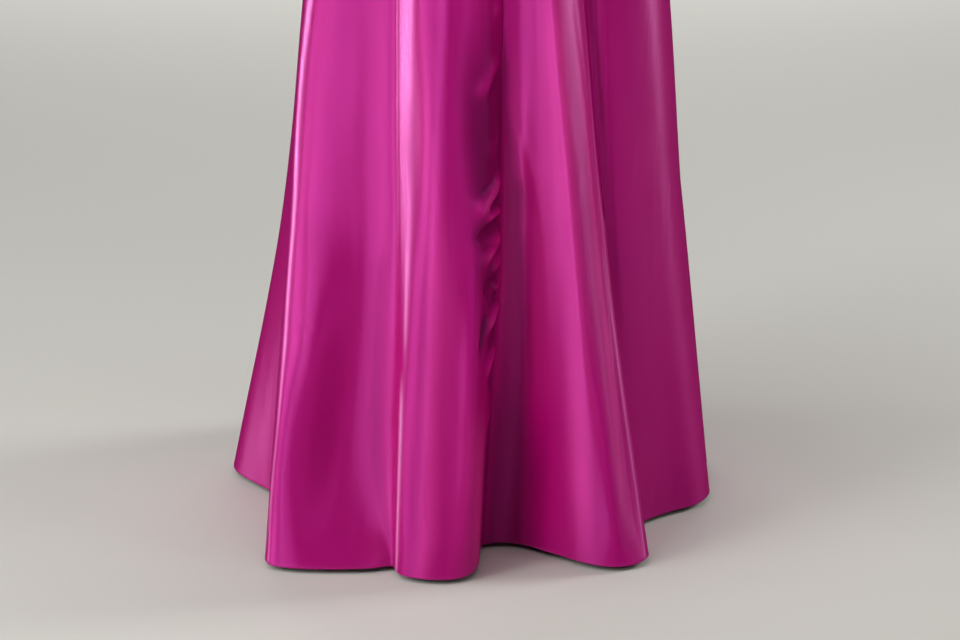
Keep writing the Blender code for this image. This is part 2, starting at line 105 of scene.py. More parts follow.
FOLD_LINES = (
    # name           hem          knee          thigh       hip  waist hip_out
    ("left_side",   -330,  108,  -262,   82,   -218,   62,  -96, -91,   0),
    ("lb_turn",     -333,   62,  -263,   42,   -222,   26,  -88, -82,   0),
    ("lb_mid",      -309,   21,  -255,   10,   -221,   -8,  -82, -77,   0),
    ("lb_in",       -285,  -10,  -243,  -22,   -217,  -28,  -78, -73,  -1),
    ("l_valley",    -252,  -80,  -222,  -62,   -212,  -40,  -74, -69,  -3),
    ("l_under",     -252, -160,  -225, -118,   -212,  -58,  -70, -66,  -1),
    ("fl_edge",     -271, -227,  -243, -163,   -217,  -79,  -66, -62,   2),
    ("fl_shoulder", -264, -257,  -231, -184,   -204, -102,  -60, -58,   5),
    ("fl_crest",    -238, -268,  -202, -194,   -188, -113,  -52, -52,   4),
    ("fl_trough",   -189, -272,  -160, -197,   -158, -122,  -46, -45,   0),
    ("fl_rise",     -139, -269,  -140, -201,   -134, -129,  -38, -36,   0),
    ("fl_foot",     -115, -262,  -109, -211,   -109, -138,  -30, -27,  -1),
    ("ridge_edge",  -111, -276,  -102, -220,   -101, -149,  -28, -25,   3),
    ("ridge_bevel",  -104, -289,   -89, -236,    -82, -174,  -22, -21,   8),
    ("ridge_lit",    -79, -301,   -69, -247,    -64, -184,  -15, -16,  10),
    ("ridge_front",  -45, -303,   -34, -252,    -41, -192,   -9, -11,  11),
    ("ridge_roll",   -25, -292,   -13, -254,     -7, -187,   -3,  -6,   9),
    ("wall_a",       -13, -268,    -2, -236,      3, -178,    1,  -3,   3),
    ("wall_b",        -9, -230,     8, -210,     11, -170,    3,  -1,   0),
    ("front_seam",    -5, -197,    12, -186,     18, -163,    5,   0,  -2),
    ("floor",         22, -189,    22, -176,     22, -162,    6,   1,  -1),
    ("rf_a",          49, -199,    43, -177,     36, -163,    9,   4,   0),
    ("rf_wall",       79, -222,    70, -192,     51, -168,   12,   9,   3),
    ("rf_b",         117, -252,    94, -205,     63, -175,   15,  13,   7),
    ("rf_crest",     141, -263,   111, -212,     77, -181,   18,  17,   9),
    ("rf_dip",       160, -264,   123, -202,     87, -172,   21,  21,   9),
    ("rf_lip",       180, -256,   136, -177,    102, -149,   25,  25,   8),
    ("rf_edge",      196, -231,   147, -156,    115, -121,   29,  29,   5),
    ("rf_under",     187, -180,   146, -150,    120, -119,   33,  33,   1),
    ("r_valley",     186, -136,   146, -142,    125, -118,   38,  38,  -1),
    ("rb_out",       206, -110,   162, -136,    136, -120,   46,  46,   0),
    ("rb_mid",       236,  -84,   199, -101,    168, -102,   56,  57,   1),
    ("rb_lit",       268,  -62,   230,  -64,    200,  -66,   68,  70,   2),
    ("rb_turn",      288,  -20,   248,  -10,    220,    0,   82,  83,   1),
    ("right_side",   280,   28,   240,   28,    213,   32,   90,  90,   0),
)
BACK_FOLDS = (
    # name      hem         thigh      half_w  waist  valley_depth, half_w
    ("b1",    286,  122,   206,   82,    46,   108,   36,  12),
    ("b2",    214,  240,   148,  142,    58,   132,   58,  11),
    ("b3",     78,  312,    52,  181,    54,   163,   44,  12),
    ("b4",    -66,  310,   -44,  180,    46,   193,   32,  15),
    ("b5",   -194,  276,  -128,  150,    58,   219,   60,  11),
    ("b6",   -292,  190,  -192,  100,    38,   245,   26,  12),
)
KNEE_SHARE = 0.46
# soft unevenness of the front folds: mm that the cloth stands back, at these heights
UNEVEN_AT = (0.0, 0.05, 0.11, 0.18, 0.26, 0.34, 0.42, 0.50, 0.58, 0.66, 0.80)
UNEVEN = {
    "fl_edge":     (0, -8, -9, -4, 0, 2, 5, 2, 0, 0, 0),
    "fl_shoulder": (0, 4, 2, -2, -1, 3, 4, 4, 3, 0, 0),
    "fl_crest":    (0, 7, 8, 2, -4, 1, 4, 4, 4, 1, 0),
    "fl_trough":   (0, 18, 26, 22, 10, 2, 0, 0, 0, 0, 0),
    "fl_rise":     (0, 13, 19, 17, 9, 3, 1, 1, 0, 0, 0),
    "fl_foot":     (0, 0, 5, 5, 2, 0, 1, 1, 0, 0, 0),
    "ridge_edge":  (0, -4, -6, -6, -4, -3, 0, 0, 0, 0, 0),
    "ridge_bevel": (0, -3, -3, -3, -4, -5, -2, 1, 1, 1, 0),
    "ridge_lit":   (0, -3, -2, -3, -4, -6, -6, -5, -4, -1, 0),
    "ridge_front": (0, -4, -3, -4, -5, -6, -5, -4, -3, -1, 0),
    "ridge_roll":  (0, -9, -10, -8, -7, -4, 1, 5, 4, 1, 0),
    "rf_a":        (0, 2, 3, 3, 4, 3, 2, 1, 0, 0, 0),
    "rf_dip":      (0, -6, -5, -4, 0, 1, 0, 0, 0, 0, 0),
    "rf_lip":      (0, 6, 8, 6, 3, -1, -3, -4, -3, -1, 0),
    "rf_edge":     (0, 8, 6, 2, 1, 3, 2, 0, 0, 0, 0),
}
TOP_EDGE = np.array((
    (0, 1.352), (14, 1.362), (30, 1.378), (42, 1.386), (56, 1.370),
    (90, 1.330), (125, 1.334), (150, 1.338), (180, 1.334),
), dtype=float)
CUP = (34.0, 1.292, 0.027, 21.0, 0.050)

# ------------------------------------------------------------------ camera
CAM_X, CAM_DIST, CAM_HEIGHT, CAM_PITCH, CAM_PIXELS = -0.009, 3.30, 1.30, 18.0, 2728.0
cam_data = bpy.data.cameras.new("camera")
cam_data.sensor_width = 36.0
cam_data.lens = 36.0 * CAM_PIXELS / 960.0
cam = bpy.data.objects.new("camera", cam_data)
cam.location = (CAM_X, -CAM_DIST, CAM_HEIGHT - LENGTH)
cam.rotation_euler = (math.radians(90.0 - CAM_PITCH), 0.0, 0.0)
bpy.context.scene.collection.objects.link(cam)
bpy.context.scene.camera = cam


# ------------------------------------------------------------------ small maths
def slopes(xs, ys):
    m = np.empty_like(ys)
    m[1:-1] = (ys[2:] - ys[:-2]) / (xs[2:] - xs[:-2])[:, None]
    m[0] = (ys[1] - ys[0]) / (xs[1] - xs[0])
    m[-1] = (ys[-1] - ys[-2]) / (xs[-1] - xs[-2])
    return m


def through(x, xs, ys):
    """Cubic curve through (xs, ys), read at every x; ys may have columns."""
    x = np.clip(np.atleast_1d(np.asarray(x, float)), xs[0], xs[-1])
    ys = np.asarray(ys, float)
    flat = ys.ndim == 1
    ys = ys.reshape(len(xs), -1)
    m = slopes(np.asarray(xs, float), ys)
    i = np.clip(np.searchsorted(xs, x, side="right") - 1, 0, len(xs) - 2)
    h = (np.asarray(xs)[i + 1] - np.asarray(xs)[i])
    t = ((x - np.asarray(xs)[i]) / h)[:, None]
    h = h[:, None]
    out = ((2 * t**3 - 3 * t**2 + 1) * ys[i] + (t**3 - 2 * t**2 + t) * h * m[i]
           + (-2 * t**3 + 3 * t**2) * ys[i + 1] + (t**3 - t**2) * h * m[i + 1])
    return out[:, 0] if flat else out


def figure(height, degrees, out=0.0):
    height, degrees = np.broadcast_arrays(np.asarray(height, float), np.asarray(degrees, float))
    shape = height.shape
    cols = through(height.ravel(), FIGURE[:, 0], FIGURE[:, 1:])
    a = np.radians(degrees.ravel())
    depth = np.where(np.cos(a) > 0, cols[:, 1], cols[:, 2])
    out = np.broadcast_to(out, shape).ravel()
    x = (cols[:, 0] + out) * np.sin(a)
    y = -(depth + out) * np.cos(a)
    return np.stack([x.reshape(shape), y.reshape(shape)], -1)


def smooth01(x):
    x = np.clip(x, 0.0, 1.0)
    return x * x * (3 - 2 * x)


def noise2(u, v, seed, octaves=3):
    """Smooth value noise, the same each run."""
    rng = np.random.default_rng(seed)
    total = np.zeros(np.broadcast(u, v).shape)
    amp = 1.0
    for k in range(octaves):
        table = rng.uniform(-1, 1, (64, 64))
        fu, fv = u * 2**k + 7.3 * k, v * 2**k + 3.1 * k
        iu, iv = np.floor(fu).astype(int), np.floor(fv).astype(int)
        tu, tv = smooth01(fu - iu), smooth01(fv - iv)
        a = table[iu % 64, iv % 64]; b = table[(iu + 1) % 64, iv % 64]
        c = table[iu % 64, (iv + 1) % 64]; d = table[(iu + 1) % 64, (iv + 1) % 64]
        total = total + amp * ((a * (1 - tu) + b * tu) * (1 - tv) + (c * (1 - tu) + d * tu) * tv)
        amp *= 0.5
    return total


# ------------------------------------------------------------------ skirt
def skirt_lines():
    lines = []
    for name, hx, hy, kx, ky, tx, ty, hip, waist, out in FOLD_LINES:
        lines.append([name, np.array((hx, hy)) / 1000, np.array((kx, ky)) / 1000,
                      np.array((tx, ty)) / 1000, hip, waist, out / 1000])
    ridges = []
    for name, hx, hy, tx, ty, half, waist, depth, floor in BACK_FOLDS:
        hem, thigh = np.array((hx, hy)) / 1000, np.array((tx, ty)) / 1000
        out = hem / np.linalg.norm(hem)
        along = np.array((-out[1], out[0]))
        sides = [(hem + along * s * half * 0.55 / 1000 - out * 0.004,
                  thigh + along * s * half * 0.34 / 1000 - out * 0.002,
                  waist + s * 4.4) for s in (-1, 1)]
        ridges.append((name, sides, depth / 1000, floor / 1000))
    left = lines[0]
    behind = []
    for i, (name, sides, depth, floor) in enumerate(ridges):
        for tag, (hem, thigh, waist) in zip("ab", sides):
            behind.append((f"{name}_{tag}", hem, thigh, waist, 0.003))
        after = ridges[i + 1][1][0] if i + 1 < len(ridges) else (left[1], left[3], left[5] + 360)
        hem, thigh = (sides[1][0] + after[0]) / 2, (sides[1][1] + after[1]) / 2
        hem = hem - hem / np.linalg.norm(hem) * depth
        thigh = thigh - thigh / np.linalg.norm(thigh) * depth * 0.42
        waist = (sides[1][2] + after[2]) / 2
        out = hem / np.linalg.norm(hem)
        along = np.array((-out[1], out[0]))
        for tag, s in (("u", -1), ("v", 1)):
            behind.append((f"{name}_{tag}", hem + along * s * floor,
                           thigh + along * s * floor * 0.4, waist + s * 1.2, -0.003))
    for name, hem, thigh, waist, out in behind:
        lines.append([name, hem, hem + (thigh - hem) * KNEE_SHARE, thigh, waist, waist, out])
    return lines


LINES = skirt_lines()
LINE_NAMES = [line[0] for line in LINES]
STATIONS = np.array([0.0, KNEE, THIGH, HIP, 1.02, WAIST])


def line_track(line, heights):
    name, hem, knee, thigh, hip, waist, out = line
    mid = hip + (waist - hip) * 0.5
    pts = np.array([hem, knee, thigh, figure(HIP, hip, out), figure(1.02, mid, out * 0.5),
                    figure(WAIST, waist)])
    track = through(heights, STATIONS, pts)
    if name in UNEVEN:
        track[:, 1] += through(heights, np.array(UNEVEN_AT), np.array(UNEVEN[name], float)) / 1000
    return track


ROW_BANDS = (
    # from   to    step (m): closest where the seam puckers
    (0.000, 0.210, 0.0056),
    (0.210, 0.480, 0.0034),
    (0.480, 0.700, 0.0052),
    (0.700, 1.120, 0.0120),
)
FINE_STEP, FRONT_STEP, SIDE_STEP = 0.0019, 0.0035, 0.0052
FINE_SPANS = ("l_under", "fl_edge", "fl_foot", "ridge_edge", "ridge_roll", "wall_a", "wall_b",
              "front_seam", "rf_lip", "rf_edge")
SUB = 3                     # curve samples for each mesh column, before smoothing
HEM_ROLL = 0.0018           # radius at which the hem turns under


def row_heights():
    rows = [np.linspace(lo, hi, int(round((hi - lo) / step)) + 1)[:-1] for lo, hi, step in ROW_BANDS]
    return np.concatenate(rows + [[WAIST]])


def closed_rows(points, counts):
    """points (rows, n, 2) -> smooth closed rows, counts[i] samples per span."""
    n = points.shape[1]
    out = []
    for i in range(n):
        p0, p1, p2, p3 = (points[:, (i + k) % n] for k in (-1, 0, 1, 2))
        k1, k2, k3 = (np.maximum(np.linalg.norm(b - a, axis=1), 1e-6)[:, None] ** 0.5
                      for a, b in ((p0, p1), (p1, p2), (p2, p3)))
        m1 = ((p1 - p0) / k1 - (p2 - p0) / (k1 + k2) + (p2 - p1) / k2) * k2
        m2 = ((p2 - p1) / k2 - (p3 - p1) / (k2 + k3) + (p3 - p2) / k3) * k2
        for j in range(counts[i]):
            t = j / counts[i]
            out.append(p1 * (2 * t**3 - 3 * t**2 + 1) + m1 * (t**3 - 2 * t**2 + t)
                       + p2 * (-2 * t**3 + 3 * t**2) + m2 * (t**3 - t**2))
    return np.stack(out, axis=1)


def blur_closed(rows, sigma):
    """Gaussian blur of closed rows along themselves, sigma in samples."""
    reach = int(math.ceil(sigma * 3))
    w = np.exp(-0.5 * (np.arange(-reach, reach + 1) / sigma) ** 2)
    w /= w.sum()
    return sum(w[k + reach] * np.roll(rows, k, axis=1) for k in range(-reach, reach + 1))


def grid_normals(grid, closed):
    """Outward unit normals of a (rows, cols, 3) grid, rows rising, columns anticlockwise."""
    if closed:
        du = np.roll(grid, -1, 1) - np.roll(grid, 1, 1)
    else:
        du = np.gradient(grid, axis=1)
    dv = np.gradient(grid, axis=0)
    n = np.cross(du, dv)
    return n / np.maximum(np.linalg.norm(n, axis=2, keepdims=True), 1e-12)


# Soft creases and puckers of the skirt. Each runs between two places given in mm:
# along the cloth from the centre-front seam (+ to the right) and above the hem.
# width and depth in mm, depth below zero for a trough.
CREASES = (
    # from s, z     to s, z    width  depth
    # puckers that the centre-front seam draws into the left wall of the deep fold
    (-6, 616,   -50, 560,   8.0,  3.0),
    (-4, 592,   -34, 556,   6.0, -2.2),
    (-2, 668,   -18, 658,   5.0,  2.0),
    (-4, 520,   -44, 500,   7.0,  1.8),
    (-2, 476,   -72, 424,  10.5,  6.6),
    (-20, 470,  -60, 452,   5.0, -2.0),
    (-3, 462,   -22, 447,   5.5, -5.0),
    (-2, 446,   -50, 436,   5.0, -5.8),
    (-3, 429,   -58, 425,   5.5,  5.6),
    (-4, 418,   -76, 404,   5.5, -6.2),
    (-3, 404,   -70, 372,  11.0,  6.2),
    (-24, 390,  -66, 392,   4.0, -2.4),
    (-3, 372,   -40, 360,   8.0,  5.4),
    (-4, 352,   -64, 338,   6.0, -6.6),
    (-2, 340,   -30, 336,   5.0,  5.0),
    (-2, 330,   -34, 322,   5.0, -4.6),
    (-5, 326,   -58, 284,   7.0,  5.8),
    (-54, 318,  -72, 262,   7.0, -5.4),
    (-4, 294,   -44, 268,   5.5, -4.8),
    (-6, 272,   -56, 232,   7.5,  3.6),
    (-3, 242,   -40, 214,   6.0, -2.4),
    (-4, 196,   -48, 166,   8.0,  1.8),
    (-4, 120,   -38, 100,   7.0, -1.4),
    # drag lines fanning down from the seam over the right wall
    (2, 560,     62, 438,   6.5,  0.5),
    (2, 536,     48, 412,   6.5, -0.5),
    (2, 552,     32, 468,   5.5, -0.4),
    (30, 504,    62, 398,   6.5,  0.6),
    (4, 330,     34, 268,   6.0,  0.5),
    # the fold's edge on the right is pinched into a narrow line
    (98, 692,   136, 520,   5.0, -0.72),
    (126, 570,  163, 372,   4.6, -0.68),
    (156, 410,  186, 215,   4.2, -0.63),
    (178, 262,  212, 70,    4.0, -0.59),
    (204, 120,  226, 2,     4.0, -0.54),
    # the front ridge: fine creases across it, crinkles at its hem
    (-152, 373, -98, 371,   2.2, -0.45),
    (-150, 367, -98, 366,   2.6,  0.35),
    (-176, 52,  -143, 66,   2.8, -0.55),
    (-174, 46,  -146, 59,   2.8,  0.40),
    (-174, 99,  -136, 105,  2.8, -0.30),
    (-184, 66,  -172, 52,   3.0, -0.55),
    (-186, 52,  -174, 42,   3.0,  0.55),
    (-180, 36,  -168, 28,   3.0, -0.40),
    # soft handling creases of the front left panel
    (-338, 300, -286, 270,  6.0, -0.5),
    (-300, 196, -262, 238,  7.0,  0.5),
    (-250, 150, -214, 190,  6.0, -0.4),
    # side seams
    (378, 520,  418, 488,   6.0,  1.2),
    (380, 500,  414, 470,   5.0, -1.0),
    (404, 360,  452, 330,   6.0,  1.2),
    (402, 344,  440, 318,   5.0, -1.1),
    (374, 508,  340, 478,   5.5, -0.8),
    (-520, 500, -560, 466,  6.0,  1.2),
    (-522, 482, -556, 452,  5.0, -1.0),
    (-574, 372, -622, 340,  6.0,  1.1),
    (-518, 512, -484, 480,  5.5, -0.8),
    # centre-back seam
    (768, 540,  724, 508,   6.5,  0.59),
    (772, 522,  732, 494,   5.0, -0.52),
    (784, 500,  742, 466,   6.0,  0.56),
    (792, 482,  752, 452,   5.0, -0.56),
    (806, 462,  764, 436,   6.5,  0.63),
    (818, 440,  780, 418,   5.0, -0.56),
    (830, 424,  784, 392,   6.0,  0.52),
    (850, 398,  812, 372,   5.0, -0.49),
    (876, 360,  836, 330,   6.0,  0.45),
    (786, 520,  842, 440,   7.0,  0.35),
    (800, 500,  850, 410,   7.0, -0.35),
    (860, 380,  908, 300,   7.0,  0.32),
    # long soft breaks low on the side and back panels
    (560, 300,  640, 230,  11.0, -0.9),
    (700, 240,  640, 180,  10.0,  0.8),
    (-700, 280, -780, 220, 11.0, -0.9),
    (-820, 200, -760, 150, 10.0,  0.8),
    (-960, 300, -900, 230, 11.0, -0.8),
)


# Painted highlights along the sharp fold edges: a pale pink painted where the folded satin catches the light,
# between two fold lines, over a height.
PAINTED_EDGE_HIGHLIGHTS = (
    # after line    share  from z  to z   width  strength
    ("ridge_edge",  0.30, -0.100, 0.250,  3.2,   0.80),
    ("ridge_edge",  0.45,  0.250, 0.420,  3.0,   0.48),
    ("rf_lip",      0.62, -0.100, 0.720,  1.7,   0.28),
    ("fl_edge",     0.45, -0.100, 0.140,  2.0,   0.30),
)
# a faint painted highlight along the hem's lower edge
HEM_PAINTED_HIGHLIGHT = 0.03
# Painted shade (below zero) and painted light (above zero) in the cloth's colour, over the deep fold at the seam,
# its puckers and the folds beside it: along the cloth, and above the hem.
PAINTED_SHADE_PATCHES = (
    # s      half_s   z     half_z  painted light and shade
    (-32,    38,    435,   180,   -0.95),
    (-14,    20,    440,   230,   -0.30),
    (-22,    22,    180,   110,   -0.35),
    (20,     18,    420,   170,    0.50),
    (-112,   15,    200,   520,    0.16),
    (-118,   14,    520,   210,    0.35),
    (66,     22,    460,   260,    0.40),
    (-14,    16,     60,    90,   -0.35),
    (20,     26,     90,   110,   -0.45),
    (-72,    26,     75,   110,    0.90),
    (60,     22,     40,   110,   -0.45),
)
# Painted highlights on the crests of the long folds, a little paler where they catch the light: they run along the
# cloth like the creases.
PAINTED_CREST_HIGHLIGHTS = (
    # from s, z     to s, z    width  painted light
    (50, 760,   152, -40,  15.0,  0.88),
    (92, 720,   205, 20,    8.0,  0.62),
    (-165, 800, -240, -60, 14.0,  0.36),
    (-225, 780, -336, 200, 14.0,  0.48),
    (-122, 440, -160, -40, 11.0,  0.60),
)
PUCKER_PAINT_RELIEF = 0.0042       # relief at which a pucker gets full painted highlight or full painted shade


class Skirt:
    def __init__(self):
        hem = np.array([line[1] for line in LINES])
        n = len(LINES)
        first, last = LINE_NAMES.index("l_under"), LINE_NAMES.index("rb_out")
        self.counts = []
        for i in range(n):
            d = np.linalg.norm(hem[(i + 1) % n] - hem[i])
            step = FINE_STEP if LINE_NAMES[i] in FINE_SPANS else FRONT_STEP if first <= i < last else SIDE_STEP
            self.counts.append(max(4, int(round(d / step))))
        self.starts = np.concatenate(([0], np.cumsum(self.counts))).astype(int)
        self.total = int(self.starts[-1])
        self.z = row_heights()
        tracks = np.stack([line_track(line, self.z) for line in LINES], axis=1)
        plan = closed_rows(tracks, [c * SUB for c in self.counts])
        plan = blur_closed(plan, SUB * 1.0)[:, ::SUB]
        self.base = np.concatenate([plan, np.broadcast_to(self.z[:, None, None],
                                                          plan.shape[:2] + (1,))], axis=2)
        step = np.linalg.norm(np.roll(plan, -1, 1) - plan, axis=2)
        s = np.concatenate([np.zeros((len(self.z), 1)), np.cumsum(step, axis=1)], axis=1)
        self.arc_total = s[:, -1]
        seam = self.column("front_seam")
        s = s[:, :-1] - s[:, seam][:, None]
        half = self.arc_total[:, None] / 2
        self.s = (s + half) % (2 * half) - half          # metres along the cloth from the front seam
        relief = self.relief()
        self.grid = self.base + grid_normals(self.base, True) * relief[:, :, None]
        # painted highlights along the fold and hem edges, and painted light and shade over the folds and puckers
        self.edge, self.painted_shading = self.paint_edge_highlights(), self.paint_light_and_shade(relief)

    def paint_edge_highlights(self):
        # painted highlight along each listed fold edge, over its heights
        z = self.z[:, None]
        out = np.zeros_like(self.s)
        for name, share, lo, hi, width, strength in PAINTED_EDGE_HIGHLIGHTS:
            s0 = self.s[:, self.column(name, share)][:, None]
            on = smooth01((z - lo) / 0.06) * smooth01((hi - z) / 0.06)
            out = np.maximum(out, strength * on * np.exp(-((self.s - s0) / (width / 1000)) ** 2))
        # a faint painted highlight along the hem row
        out[0] = np.maximum(out[0], HEM_PAINTED_HIGHLIGHT)
        return out

    def paint_light_and_shade(self, relief):
        # painted light and shade from the patches, the crest highlights and the puckers' relief
        z = self.z[:, None]
        out = np.zeros_like(self.s)
        for s0, ds, z0, dz, value in PAINTED_SHADE_PATCHES:
            out += value * np.exp(-((self.s * 1000 - s0) / ds) ** 4 - ((z * 1000 - z0) / dz) ** 4)
        for sa, za, sb, zb, width, value in PAINTED_CREST_HIGHLIGHTS:
            t = (z * 1000 - za) / (zb - za)
            on = smooth01(np.clip(np.minimum(t, 1 - t) * 5.0, 0, 1))
            out += value * on * np.exp(-((self.s * 1000 - sa - (sb - sa) * t) / width) ** 2)
        # the puckers' own relief near the seam, painted as light on their bulges and as shade in their troughs
        near = np.exp(-((self.s * 1000 + 36) / 48) ** 4)
        return np.clip(out + near * relief / PUCKER_PAINT_RELIEF, -1, 1)

    def column(self, name, share=0.0):
        i = LINE_NAMES.index(name)
        return int(round(self.starts[i] + share * self.counts[i])) % self.total

    def relief(self):
        z = self.z[:, None]
        out = np.zeros_like(self.s)
        for sa, za, sb, zb, width, depth in CREASES:
            a, b = np.array((sa, za)) / 1000, np.array((sb, zb)) / 1000
            d = b - a
            length = np.linalg.norm(d)
            d /= length
            t = ((self.s - a[0]) * d[0] + (z - a[1]) * d[1]) / length
            off = (self.s - a[0]) * -d[1] + (z - a[1]) * d[0]
            taper = smooth01(np.clip(np.minimum(t, 1 - t) * 3.0, 0, 1))
            out += depth / 1000 * taper * np.exp(-(off / (width / 1000)) ** 2)
        # the cloth is never perfectly even: slow, shallow swells
        col = np.arange(self.total)[None, :] / self.total
        slow = noise2(col * 64.0 / 2, z * 5.0 + 0 * col, 5, 2)
        out += 0.0004 * slow * smooth01((WAIST - z) / 0.2)
        return out


def rolled(grid, uv, radius):
    """The grid with its first row's edge turned in through a quarter circle."""
    up = 1.0 if grid[-1, 0, 2] > grid[0, 0, 2] else -1.0
    normals = grid_normals(grid, False) * up
    flat = normals[0] * np.array((1, 1, 0))
    flat /= np.linalg.norm(flat, axis=1, keepdims=True)
    rows = []
    for degrees in (90, 68, 45, 22, 0):
        a = math.radians(degrees)
        rows.append(grid[0] - flat * radius * (1 - math.cos(a))
                    + np.array((0, 0, up * radius * (1 - math.sin(a)))))
    keep = (up * (grid[:, :, 2] - grid[0, :, 2])).min(axis=1) > radius * 1.4
    return (np.concatenate([np.array(rows), grid[keep]]),
            np.concatenate([np.repeat(uv[:1], 5, axis=0), uv[keep]]))


def shell(name, outer, thickness, uv=None):
    """Closed thin shell on a (rows, cols, 3) outer grid, moved in by thickness."""
    rows, cols = outer.shape[:2]
    normals = grid_normals(outer, False)
    inner = outer - normals * thickness
    verts = np.concatenate([outer.reshape(-1, 3), inner.reshape(-1, 3)]).astype(np.float32)
    verts[:, 2] -= LENGTH
    idx = np.arange(rows * cols).reshape(rows, cols)
    a, b, c, d = idx[:-1, :-1], idx[:-1, 1:], idx[1:, 1:], idx[1:, :-1]
    out_faces = np.stack([a, b, c, d], -1).reshape(-1, 4)
    off = rows * cols
    in_faces = np.stack([d, c, b, a], -1).reshape(-1, 4) + off
    rims = []
    for line, flip in ((idx[0], False), (idx[-1], True), (idx[:, 0], True), (idx[:, -1], False)):
        p, q = line[:-1], line[1:]
        f = np.stack([q, p, p + off, q + off], -1)
        rims.append(f[:, ::-1] if flip else f)
    faces = np.concatenate([out_faces, in_faces] + rims)
    me = bpy.data.meshes.new(name)
    me.vertices.add(len(verts))
    me.vertices.foreach_set("co", verts.ravel())
    me.loops.add(faces.size)
    me.loops.foreach_set("vertex_index", faces.ravel().astype(np.int32))
    me.polygons.add(len(faces))
    me.polygons.foreach_set("loop_start", np.arange(0, faces.size, 4, dtype=np.int32))
    me.polygons.foreach_set("loop_total", np.full(len(faces), 4, dtype=np.int32))
    me.update(calc_edges=True)
    me.polygons.foreach_set("use_smooth", np.ones(len(faces), dtype=bool))
    mat_index = np.zeros(len(faces), dtype=np.int32)
    mat_index[len(out_faces):len(out_faces) + len(in_faces)] = 1
    me.polygons.foreach_set("material_index", mat_index)
    if uv is not None:
        layer = me.uv_layers.new(name="cloth")
        uvs = np.concatenate([uv[..., :2].reshape(-1, 2)] * 2)
        # the outer face carries the painted highlight and the painted light and shade; the inner face none
        for k, tag in enumerate(("edge", "painted_shading")[:uv.shape[-1] - 2]):
            values = np.concatenate([uv[..., 2 + k].ravel(), np.zeros(rows * cols)])
            me.attributes.new(tag, "FLOAT", "POINT").data.foreach_set("value", values.astype(np.float32))
        layer.data.foreach_set("uv", uvs[faces.ravel()].astype(np.float32).ravel())
    me.set_sharp_from_angle(angle=math.radians(55))
    me.validate()
    obj = bpy.data.objects.new(name, me)
    bpy.context.scene.collection.objects.link(obj)
    return obj


# ------------------------------------------------------------------ materials
def nodes_of(mat):
    mat.use_nodes = True
    nt = mat.node_tree
    return nt, nt.nodes["Principled BSDF"]


